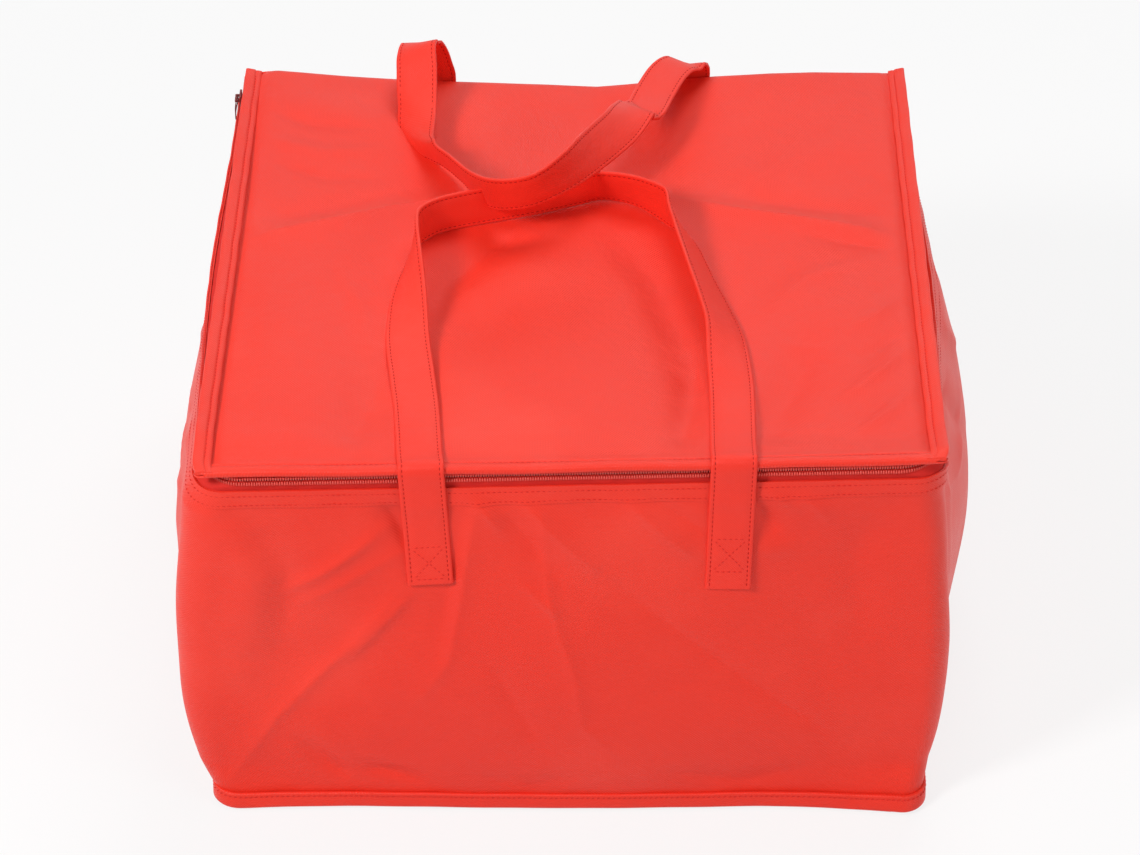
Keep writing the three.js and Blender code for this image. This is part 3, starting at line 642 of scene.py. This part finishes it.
lid = {"half": 226.5, "rollHalf": 228.2, "rollCorner": 9, "rollStart": -216.6, "columns": 210, "rows": 178,
       "skin": 1.2}
lidEdge = np.array([  # section of the rolled front edge: y and height over the lid
    (-219.8, -3.6), (-221.8, -4.2), (-223.8, -3.9), (-225.2, -2.7), (-225.6, -1.2), (-225.1, 0.2),
    (-223.7, 1.1), (-221.8, 1.4), (-219.9, 1.3), (-218.6, 0.9), (-217.8, 0.35), (-217.0, 0.75), (-215.2, 0.7),
    (-212.6, 0.1),
])
lidTail = np.array([(214, 0), (219, -0.1), (222.4, -0.6), (224.6, -2.0), (225.7, -4.2), (226.0, -7), (226.0, -11)])
lidMiddle = np.linspace(lidEdge[-1, 0], lidTail[0, 0], lid["rows"] + 2)[1:-1]
lidSection = np.vstack([lidEdge, abreast(lidMiddle, 0), lidTail])


def lidSurface(across, along):
    reach = np.linspace(0, 1, len(lidSection))
    y, lift = (np.interp(along, reach, column) for column in lidSection.T)
    into = within((lid["rollStart"] - y) / lid["rollCorner"])
    roll = lid["rollHalf"] - lid["rollCorner"] * (1 - np.sqrt(1 - into ** 2))
    half = np.where(y < lid["rollStart"], roll, lid["half"])
    x = mixed(-half, half, across)
    edge = eased(within((np.abs(x) - 210.5) / 7)) * within((y + 218) / 4)
    wave = 0.35 * np.sin(x / 17) * within((-212 - y) / 6)
    z = lidTopZ(x, np.minimum(y, 224)) + lift + lidRelief(x, y) + wave
    return x, y, z - 1.5 * edge, x + 240, y


lidCloth = clothFrom("lidCloth", lid["columns"], len(lidSection) - 1, lidSurface, askew=1)
dressed(thicken(lidCloth, lid["skin"]), redCloth, ("bag", "lid", (0, 0.226, 0.268), (0, 0.218, 0.277)),
        "lid_panel")


# A level sheet with rounded front corners; its height comes from the place and the distance inside the rim
def levelSheet(name, half, frontY, rearY, corner, count, thickness, heightAt, askew):
    def surface(across, along):
        y = mixed(frontY, rearY, along)
        into = within((frontY + corner - y) / corner)
        limit = half - corner + corner * np.sqrt(1 - into ** 2)
        x = mixed(-1, 1, across) * limit
        return x, y, heightAt(x, y, np.minimum(np.minimum(y - frontY, rearY - y), limit - np.abs(x)))
    return thicken(clothFrom(name, count, count, surface, (2 * half, rearY - frontY), askew), thickness)


def lidLayer(name, drop, thickness, half, frontY, rearY, lift):
    def heightAt(x, y, inside):
        return lidTopZ(x, y) + lidRelief(x, y) - drop + lift * (1 - within(inside / 4)) ** 2
    return levelSheet(name, half, frontY, rearY, 23, 110, thickness, heightAt, 1)


dressedAll(lidLayer, "lid", [  # name, drop, thickness, half width, front, rear, lift of the rim
    ("lidFoam", 1.6, 3.9, 214.2, -219, 214.6, 0, whiteFoam, "lid_foam"),
    ("lidLining", 5.9, 0.5, 215.8, -220.6, 216.2, 3.9, silverFoil, "lid_foil_liner"),
])
print("lid made")


# Back wall, closed under the fold of the lid
def backPlace(x, z, inward=0.0):
    top = lidTopZ(x, bag["rearFace"]) - 1.5
    rise = within((z - 1.5) / (top - 1.5))
    swell = bag["backSwell"] * np.sin(math.pi * rise ** bag["power"]) * bell(x / 222.3)
    held = within((top - z) / 24) * within((z - 6) / 26) * within((221 - np.abs(x)) / 20)
    relief = unevenness(x, z, 140, 1.3, 4.0) + crease(x, z, [(-150, 240), (-60, 180), (-90, 90)], 13, -1.5)
    relief = relief + crease(x, z, [(60, 250), (120, 170), (100, 80)], 12, -1.5)
    return x, bag["rearFace"] + swell + relief * held - inward, z


def backSheet(name, half, inward, thickness, topDrop, columns, rows):
    def surface(across, up):
        x = mixed(half, -half, across)
        top = lidTopZ(x, bag["rearFace"]) - topDrop
        return backPlace(x, mixed(1.5, top, up), inward)
    return thicken(clothFrom(name, columns, rows, surface, (2 * half, 270)), thickness)


dressedAll(backSheet, "bag", [  # name, half width, inward, thickness, drop under the lid's fold, columns, rows
    ("backCloth", 221.3, 0, 1.2, 2.2, 110, 66, redCloth, "back_panel"),
    ("backFoam", 216.4, 1.5, 3.9, 17.5, 70, 40, whiteFoam, "back_foam"),
    ("backLining", 216.4, 5.8, 0.5, 16.8, 70, 40, silverFoil, "back_foil_liner"),
])


def baseLayer(name, inset, low, thickness, pillow):
    half = bag["baseWidth"] / 2 - inset

    def heightAt(x, y, inside):
        return low + thickness + pillow * (unevenness(x, y, 120, 1) + 1) * bell(x / half) * bell(y / half)
    return levelSheet(name, half, inset - halfDepth, bag["rearFace"] - inset, bag["footCorner"] + 3, 60,
                      thickness, heightAt, 0)


dressedAll(baseLayer, "bag", [  # name, inset, low, thickness, pillow
    ("baseCloth", 0, 0, 1.2, 0, redCloth, "base_panel"),
    ("baseFoam", 6.8, 3.8, 4, 0, whiteFoam, "base_foam"),
    ("baseLining", 6.8, 8.1, 0.6, 0.4, silverFoil, "base_foil_liner"),
])
print("back and base made")


# The upper half of a section with the same turned over
def mirrored(top):
    return top + [(x, -z) for x, z in reversed(top)]


# Bindings: folded strips along the seams, a little wavy where they are sewn down
def bindingSection(width, thickness, seam=2.6, inner=1.0):
    half, thick = width / 2, thickness / 2
    top = [(-half + 0.15, thick * 0.35 * inner), (-half + 0.7, thick * 0.85 * inner),
           (-half + seam - 1, thick * inner), (-half + seam, thick * (inner - 0.28)),
           (-half + seam + 1, thick * 0.92), (0, thick * 1.0),
           (half - 3.4, thick * 1.05), (half - 1.4, thick * 1.02), (half - 0.4, thick * 0.6)]
    return mirrored(top)


footSizes = {"width": 12, "thickness": 2.9, "middle": 8, "out": 1.8, "wave": 0.225, "side": 0.16, "seam": 3.3,
             "count": 420}
runs = np.linspace(0, 1, footSizes["count"])
x, y, z, outX, outY = wallPlace(runs, np.full(footSizes["count"], float(footSizes["middle"])), -footSizes["out"])
ripple = np.sin(runs * wallLength / 7.5) + 0.6 * np.sin(runs * wallLength / 11.3 + 1.0)
footOut = abreast(outX, outY, 0)
footUp = abreast(0 * runs, 0, 1)
footLine = abreast(x, y, z) + ripple[:, None] * (footOut * footSizes["side"] + footUp * footSizes["wave"])
footBinding = bandFrom("footBinding", footLine, -footUp, footOut,
                       bindingSection(footSizes["width"], footSizes["thickness"]))
dressed(footBinding, redCloth, "bag", "base_binding")

rearRim = {"x": 220.8, "y": 230.8, "low": 2.2, "high": 261.4, "width": 11.8, "thickness": 2.8, "count": 110}
lidRim = {"inner": 216.7, "outer": 228.6, "z": 279.5, "rise": 2.6, "thickness": 2.7, "seam": 4.2,
          "front": -224.4, "rear": 224.4, "count": 190}
lidRimWidth = lidRim["outer"] - lidRim["inner"]


def rearBindingFrames(side):
    z = np.linspace(rearRim["low"], rearRim["high"], rearRim["count"])
    ripple = np.sin(z / 6.1) + 0.5 * np.sin(z / 9.7)
    line = abreast(side * (rearRim["x"] + 0.12 * ripple), rearRim["y"] + 0.15 * ripple, z)
    return line, abreast(0 * z, 1, 0), abreast(0 * z + side, 0, 0)


def lidBindingFrames(side):
    y = np.linspace(lidRim["front"], lidRim["rear"], lidRim["count"])
    ripple = np.sin(y / 5.3 + side) + 0.7 * np.sin(y / 8.9)
    wander = 0.5 * np.sin(y / 41 + side) + 0.35 * np.sin(y / 23)
    end = within((-214 - y) / 10.4) ** 2
    x = side * (lidRim["inner"] + lidRimWidth / 2 + 0.1 * ripple - 2.4 * end)
    line = abreast(x, y, lidRim["z"] + 0.16 * ripple + 0.4 * wander - 1.6 * end)
    tilt = lidRim["rise"] / lidRimWidth * (1 + 0.2 * wander)
    across = unit(abreast(side, 0, tilt * (1 - end)))
    upward = np.cross(across, (0, side, 0))
    return line, across, upward * np.sign(upward[:, 2:3])


for place, body, framesOf, section, askew in (
    ("rear", "bag", rearBindingFrames, (rearRim["width"], rearRim["thickness"]), 0),
    ("lid", "lid", lidBindingFrames, (lidRimWidth, lidRim["thickness"], lidRim["seam"], 0.7), 1),
):
    for side, word in ((-1, "left"), (1, "right")):
        binding = bandFrom(f"{place}{word.title()}Binding", *framesOf(side), bindingSection(*section), askew)
        dressed(binding, redCloth, body, f"{place}_{word}_binding")
print("bindings made")


# Zip, along the same route as the frame's tapes
zipSizes = {"half": 224.5, "front": -221.5, "corner": 24, "rear": 222.4, "middle": 269.5, "gap": 1.3,
            "pitch": 1.55, "toothHigh": 2.3, "toothOut": 1.5, "toothLong": 0.92, "tape": 12, "tapeTop": 275.8}
zipCorner = (zipSizes["half"] - zipSizes["corner"], zipSizes["front"] + zipSizes["corner"])
lowerEdge, upperEdge = zipSizes["middle"] - zipSizes["gap"] / 2, zipSizes["middle"] + zipSizes["gap"] / 2


def zipRoute(spacing):
    left = [(-zipSizes["half"], zipSizes["rear"])]
    left += [(-zipCorner[0] - zipSizes["corner"] * math.cos(turn), zipCorner[1] - zipSizes["corner"] * math.sin(turn))
             for turn in np.linspace(0, math.pi / 2, 24)]
    line = np.array(left + [(-x, y) for x, y in reversed(left)])
    line = evenly(abreast(*line.T, 0), spacing)
    along = headings(line)
    return line, along, abreast(along[:, 1], -along[:, 0], along[:, 2])


zipLine, _, zipOut = zipRoute(3)
zipLength = reachOf(zipLine)[-1]


# The wall under each place of the zip, by shares of the sides, corners and front
def wallUnder():
    reach = endsOf(zipSizes["rear"] - zipCorner[1], zipSizes["corner"] * math.pi / 2, 2 * zipCorner[0])
    ends = within(endsOf(**wallRun), 0.6, wallLength - 0.6)
    return np.interp(np.linspace(0, reach[-1], len(zipLine)), reach, ends / wallLength)


def lowerTapePlace(step, up):
    x, y, z, _, _ = wallPlace(wallUnder()[step], mixed(256.6, 262.2, within(up / 0.4)), 1.6)
    over = within((up - 0.4) / 0.6)
    ease = over * (1.6 - 0.6 * over)
    x, y = mixed(x, zipLine[step][:, 0], ease), mixed(y, zipLine[step][:, 1], ease)
    return x, y, mixed(z, lowerEdge, over)


def upperTapePlace(step, up):
    out = 1.2 * within((up - 0.5) * 2) ** 2
    spot = zipLine[step] + zipOut[step] * out[:, None]
    return spot[:, 0], spot[:, 1], mixed(upperEdge, zipSizes["tapeTop"], up)


def zipTape(name, placeOf):
    def surface(along, up):
        step = np.rint(along * (len(zipLine) - 1)).astype(int)
        ripple = 0.14 * np.sin(step * 0.9) * within((up - 0.1) * 3) * within((0.9 - up) * 3)
        x, y, z = placeOf(step, up)
        return x + zipOut[step][:, 0] * ripple, y + zipOut[step][:, 1] * ripple, z
    return thicken(clothFrom(name, len(zipLine) - 1, 12, surface, (zipLength, zipSizes["tape"])), 0.5)


def zipTeeth(name, height, shift):
    bpy.ops.mesh.primitive_cube_add(size=mm, scale=[zipSizes[f"tooth{way}"] for way in ("Long", "Out", "High")])
    tooth = scaledModel()
    reshaped(tooth, "BEVEL", width=0.3 * mm, segments=1)
    line, along, out = zipRoute(zipSizes["pitch"])
    places = line + out * (0.3 + zipSizes["toothOut"] / 2) + along * shift
    places[:, 2] = height
    return rowFrom(name, tooth, places[1:-1], along[1:-1], abreast(0 * line[1:-1, 0], 0, 1))


toothMiddle = zipSizes["toothHigh"] / 2 + 0.05
dressed(zipTape("zipLowerTape", lowerTapePlace), redTape, "bag", "zip_lower_tape")
dressed(zipTape("zipUpperTape", upperTapePlace), redTape, "lid", "zip_upper_tape")
dressed(zipTeeth("zipLowerTeeth", lowerEdge - toothMiddle, 0), highlightedTeeth, "bag", "zip_lower_coil")
dressed(zipTeeth("zipUpperTeeth", upperEdge + toothMiddle, zipSizes["pitch"] / 2), highlightedTeeth, "lid", "zip_upper_coil")

# Slider: the frame's shape with its edges rounded
slider = added("zipSlider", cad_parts["zip_slider"].data.copy())
welded(slider, 0.02)
bpy.ops.mesh.dissolve_limited(angle_limit=math.radians(2))
bpy.ops.object.mode_set(mode="OBJECT")
reshaped(slider, "BEVEL", width=0.16 * mm, segments=2)
smoothUnder(40)
dressed(slider, darkMetal, "zip_slider", "zip_slider")

# Pull: a thin wire loop that hangs along the side of the mouth
pull = {"length": 25, "half": 2, "wire": 0.4, "bow": 0.9, "x": -229.3, "y": 204.5, "z": 269.5}
straight = np.linspace(0, pull["length"] - pull["half"], 15)
turns = np.linspace(0, math.pi, 12)[1:-1]
pullAlong = np.concatenate([straight, straight[-1] + pull["half"] * np.sin(turns), straight[::-1]])
pullUp = pull["half"] * np.concatenate([np.ones(15), np.cos(turns), -np.ones(15)])
pullBow = pull["bow"] * np.sin(math.pi * within(pullAlong / pull["length"]))
curve = bpy.data.curves.new("zipPull", "CURVE")
curve.dimensions = "3D"
curve.bevel_depth = pull["wire"] * mm
curve.bevel_resolution = 4
spline = curve.splines.new("POLY")
spline.points.add(len(pullAlong) - 1)
for point, place in zip(spline.points, abreast(pull["x"] - pullBow, pull["y"] - pullAlong,
                                               pull["z"] + pullUp) * mm):
    point.co = (*place, 1)
spline.use_cyclic_u = True
added("zipPull", curve)
bpy.ops.object.convert(target="MESH")
bpy.ops.object.shade_smooth()
dressed(bpy.context.object, darkWire, "zip_pull", "zip_pull")
print("zip made")


# Straps. Each stop is a place, a lean (0 lies flat, 1 stands on its edge) and a slant, by which the edge rows lag
# each other at an oblique crease. A lean or slant that is left out is 0.
strap = {"width": 28.6, "thickness": 2.3, "grain": 3.0, "stitchIn": 2.8, "stitchPitch": 3.4,
         "stitchLong": 2.3, "stitchThick": 0.34, "crossHalf": 10.6, "gap": 0.35}
frontStrap = {"spacing": 188, "offset": 6, "leftEnd": 191, "rightEnd": 184.5, "overEdge": 1.2}
rearStrap = {"left": -93.5, "right": 83, "end": 184, "out": 1.9, "crease": 176.5}
# Front loop stops: across as a share of half the spacing, back as a share of the lid's depth, and lean
frontLoop = [
    (-1.04, 0.018, 0), (-1.05, 0.045, 0), (-1.08, 0.14, 0), (-1.12, 0.22, 0.04),
    (-1.16, 0.3, 0.14), (-1.17, 0.38, 0.35), (-1.16, 0.45, 0.65), (-1.14, 0.51, 0.9),
    (-1.11, 0.548, 1), (-1.0, 0.575, 1), (-0.85, 0.592, 1), (-0.62, 0.61, 1),
    (-0.28, 0.632, 0.96), (0.0, 0.652, 0.88), (0.18, 0.664, 0.82), (0.4, 0.65, 0.88),
    (0.575, 0.617, 1), (0.625, 0.6, 0.95), (0.655, 0.583, 0.82), (0.7, 0.558, 0.7), (0.75, 0.527, 0.6),
    (0.84, 0.4415, 0.52), (0.93, 0.36, 0.42), (0.979, 0.305, 0.33), (1.0, 0.24, 0.12), (1.01, 0.174, 0),
    (1.0, 0.045, 0), (1.0, 0.018, 0),
]
# Rear loop stops: x, y, height over the lid's edge, lean and slant
rearLoop = [
    (-97.5, 226, 12), (-100.5, 224.6, 19.5, -0.08), (-103.5, 220.5, 25.5, -0.18), (-105, 213.5, 27.8, -0.22),
    (-105.5, 205, 26.5, -0.22, -0.05), (-105, 194, 21, -0.18, -0.2), (-104.8, 182, 14, -0.16, -0.5),
    (-104.7, 170, 8.5, -0.18, -0.85), (-104.7, 158, 5, -0.28, -1.2), (-104.6, 146, 3.2, -0.44, -1.6),
    (-102, 134.5, 3, -0.76, -1.75), (-97, 124, 4.5, -1.1, -1.35), (-88, 109, 7.5, -1.28, -0.65),
    (-76, 86, 12, -1.26, -0.15), (-61, 54, 18, -1.2), (-46.7, 37, 24, -1.16), (-24.5, 33.5, 29.5, -1.1),
    (-2.7, 50, 33, -0.88), (14.8, 77, 32, -0.62), (32, 108, 29, -0.42), (39, 125, 27.5, -0.24),
    (42.5, 135, 26, -0.1), (44.5, 140.5, 24.5, -0.05), (47.5, 144, 20.5, -0.02), (51, 148, 18.5), (58, 174, 16),
    (66, 198, 15), (73, 212, 13.5), (79, 220.5, 9.5), (82.5, 225, 3), (83, 226, -1),
]


def frontLoopStops():
    across, back, lean = np.array(frontLoop).T
    x = frontStrap["offset"] + across * frontStrap["spacing"] / 2
    y = mixed(bag["lidFront"], bag["rearFace"], back)
    turn = lean * math.pi / 2
    rest = strap["width"] / 2 * np.sin(turn) + strap["thickness"] / 2 * np.cos(turn) + strap["gap"]
    edge = frontStrap["overEdge"] * within((0.06 - back) / 0.04)
    return [*zip(x, y, lidTopZ(x, y) + lidRelief(x, y) + rest + edge, lean)]


# Gives the places of a strap, its directions across, and its directions out of its face
def strapFrames(stops, startSense):
    line = evenly(smoothLine([(*stop, 0, 0)[:5] for stop in stops], 12), strap["grain"])
    places, lean, slant = line[:, :3], line[:, 3:4] * math.pi / 2, line[:, 4:5]
    along = headings(places)
    sense = np.where(np.linspace(0, 1, len(line)) < 0.5, startSense, -startSense)
    steep = eased(within((along[:, 2:3] ** 2 - 0.3) / 0.4))
    heading = unit(mixed(along * (1, 1, 0), abreast(0, sense, 0), steep))
    wide = np.cross(heading, (0, 0, 1)) * np.cos(lean) + np.array([0, 0, 1]) * np.sin(lean)
    wide = unit(wide - along * (wide * along).sum(1, keepdims=True))
    slanted = wide + along * slant
    softer = sum(np.roll(slanted, step, axis=0) for step in range(-3, 4)) / 7
    return places, mixed(slanted, softer, within(np.abs(slant) / 0.5)), np.cross(wide, along)


def strapSection():
    half, thick = strap["width"] / 2, strap["thickness"] / 2
    rim = [(half - 0.1, thick * 0.35), (half - 0.5, thick * 0.8), (half - 1.2, thick), (half - 2.2, thick),
           (half - 2.8, thick * 0.84), (half - 3.4, thick)]
    top = rim + [(half - 9, thick), (0, thick), (9 - half, thick)] + [(-x, z) for x, z in reversed(rim)]
    return mirrored(top)


def stitches(line, upward, askew=0, slant=0.0):
    long, thin = strap["stitchLong"] / 2, strap["stitchThick"]
    bpy.ops.mesh.primitive_ico_sphere_add(subdivisions=1, radius=mm, scale=(long, thin, thin))
    thread = scaledModel()
    rows = evenly(np.column_stack([line, upward]), strap["stitchPitch"])
    places, upward = rows[:, :3], rows[:, 3:]
    along = headings(places)
    along = along + np.cross(upward, along) * slant
    return rowFrom("row", thread, places[1:-1], along[1:-1], upward[1:-1], askew)


# A straight row of stitches over the strap: each end is given along the strap and across it
def crossing(frames, start, end):
    reach = reachOf(frames[0])
    share = np.linspace(0, 1, 24)
    distance = mixed(start[0], end[0], share)
    distance = np.where(distance < 0, reach[-1] + distance, distance)
    places, wide, thick = (np.stack([np.interp(distance, reach, column) for column in part.T], 1) for part in frames)
    across = mixed(start[1], end[1], share)[:, None]
    return stitches(places + wide * across + thick * (strap["thickness"] / 2 + 0.05), thick)


# Two ends and two diagonals; a sign of -1 measures from the far end of the strap
def boxedCross(near, far, sign=1):
    half, near, far = strap["crossHalf"], near * sign, far * sign
    return [((near, -half), (near, half)), ((far, -half), (far, half)),
            ((near, -half), (far, half)), ((near, half), (far, -half))]


# Webbing with a row of stitches along both edges of both faces, and crosses at the ends sewn to the bag
def sewnStrap(name, frames, bend, replacing, crossName="", crosses=()):
    dressed(bandFrom(name, *frames, strapSection()), redStrap, bend, *replacing)
    if crosses:
        dressed(joined(crossName, [crossing(frames, start, end) for start, end in crosses]), crossThread, "bag")
    places, wide, thick = frames
    inset, top = strap["width"] / 2 - strap["stitchIn"], strap["thickness"] / 2 - 0.1
    rows = [stitches(places + wide * side * inset + thick * face * top, thick * face)
            for side in (-1, 1) for face in (-1, 1)]
    dressed(joined(f"{name}Thread", rows), redThread, bend)


# Front strap: up the front wall, over the hem and the lid's edge, round the lid and down again
def frontClimb(x, topX, end):
    z = np.array([end, 200, 215, 230, 242, 250, 258, 266, 273])
    out = np.array([1.7, 1.7, 1.7, 1.8, 2, 3, 3.2, 3.4, 3.7])
    spot = mixed(x, topX, (z - end) / (279 - end))
    y = wallPlace(0.5 + spot / wallLength, z)[1] - out
    return [*zip(spot, y, z), (topX, -225.9, 278.6), (topX, -222.6, 280.9)]


left, right = frontClimb(-86.5, -91, frontStrap["leftEnd"]), frontClimb(98, 100, frontStrap["rightEnd"])
frontFrames = strapFrames(left + frontLoopStops() + right[::-1], 1)
sewnStrap("frontHandle", frontFrames, ("bag", "front_handle", (0, -0.228, 0.2765), (0, -0.223, 0.2815)),
          ["front_handle_loop", "front_handle_left_end", "front_handle_right_end"],
          "frontHandleCrosses", boxedCross(4, 28) + boxedCross(13, 38, -1))


# Rear strap: two risers that hump over the lid's rear edge, and the loop that lies on the lid
def rearClimb(x):
    z = np.array([rearStrap["end"], 200, 220, 240, 256, 266])
    y = backPlace(0 * z + x, z)[1] + rearStrap["out"]
    return [*zip(0 * z + x, y, z), (x, 226.9, 274)]


left, right = rearClimb(rearStrap["left"]), rearClimb(rearStrap["right"])
middle = [(rearStrap["left"] - 2, 226.4, 282)]
middle += [(x, y, bag["height"] + height, *rest) for x, y, height, *rest in rearLoop]
rearFrames = strapFrames(left + middle + right[::-1], -1)
leftCut, *_, rightCut = np.flatnonzero(rearFrames[0][:, 1] < rearStrap["crease"])
rearBend = ("bag", "lid", (0, 0.226, 0.268), (0, 0.226, 0.279))
creaseBend = ("lid", "rear_handle", (0, 0.1765, 0.29), (0, 0.158, 0.286))
for side, first, last, sign in (("left", 0, leftCut + 1, 1), ("right", rightCut, None, -1)):
    frames = [part[first:last] for part in rearFrames]
    sewnStrap(f"rear{side.title()}Riser", frames, rearBend, [f"rear_handle_{side}_riser", f"rear_handle_{side}_end"],
              f"rear{side.title()}Cross", boxedCross(13, 38, sign))
sewnStrap("rearHandle", [part[leftCut:rightCut + 1] for part in rearFrames], creaseBend, ["rear_handle_loop"])
print("straps made")


# Stitching of the bag's own seams
seams = {"heights": (252.0, 258.8), "out": 0.92, "foot": 1.36, "binding": 0.72, "lidFront": -218, "lidHalf": 212,
         "lid": 0.42}
bagRows = []
for height in seams["heights"]:
    x, y, z, outX, outY = wallPlace(np.linspace(0, 1, 500), np.full(500, height), -seams["out"])
    bagRows.append(stitches(abreast(x, y, z), abreast(outX, outY, 0)))
bagRows.append(stitches(footLine + footOut * seams["foot"] + footUp * footSizes["seam"], footOut, slant=0.5))
dressed(joined("bagThread", bagRows), seamThread, "bag")
lidRows = []
for side in (-1, 1):
    line, across, upward = lidBindingFrames(side)
    line = line + across * (lidRim["seam"] - lidRimWidth / 2) + upward * seams["binding"]
    lidRows.append(stitches(line[4:-2], upward[4:-2], 1))
x = np.linspace(-seams["lidHalf"], seams["lidHalf"], 200)
line = abreast(x, seams["lidFront"], lidTopZ(x, seams["lidFront"]) + seams["lid"])
lidRows.append(stitches(line, abreast(0 * x, 0, 1), 1))
dressed(joined("lidThread", lidRows), seamThread, "lid")
print("stitching made")


# What stays of the frame
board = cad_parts["base_board"].data.materials
board.clear()
board.append(greyBoard)

# Floor, backdrop and light
stage = {"floor": 12, "grey": 0.82, "seen": 0.8, "ambient": 0.27}
bpy.ops.mesh.primitive_plane_add(size=stage["floor"])
floor = bpy.context.object
floor.name = "floor"
floorFinish = Finish("pale floor")
seen = floorFinish.rays("Camera", "Glossy", "Transmission").limited() * stage["seen"]
floorFinish.shade(Base_Color=(stage["grey"], stage["grey"], stage["grey"], 1), Roughness=0.9)
white = floorFinish.add("ShaderNodeEmission", {}, (1, 1, 1, 1), 1.0)
grey = Wire(floorFinish, floorFinish.nodes["Principled BSDF"].outputs[0])
both = floorFinish.add("ShaderNodeMixShader", {}, seen, grey, white)
floorFinish.connect(floorFinish.nodes["Material Output"].inputs[0], both)
floor.data.materials.append(floorFinish.owner)

bpy.context.scene.world = bpy.data.worlds.new("studio")
sky = Finish("studio", bpy.context.scene.world)
strength = sky.add("ShaderNodeMapRange", {}, sky.rays("Camera", "Glossy"), To_Min=stage["ambient"], To_Max=1.0)
sky.connect(sky.nodes["Background"].inputs["Strength"], strength)
sky.connect(sky.nodes["Background"].inputs["Color"], (1, 1, 1, 1))

lamps = [  # place, size, power
    ((-1.7, -1.5, 2.1), 0.6, 56), ((1.9, -1.5, 1.2), 1.2, 14), ((0.4, 1.1, 2.6), 1.2, 27),
]
for place, size, power in lamps:
    bpy.ops.object.light_add(type="AREA", location=place)
    lamp = bpy.context.object
    lamp.data.size = size
    lamp.data.energy = power
    aim = Vector((0, 0, 0.15)) - Vector(place)
    lamp.rotation_euler = aim.to_track_quat("-Z", "Y").to_euler()

bpy.context.scene.view_settings.view_transform = "Standard"
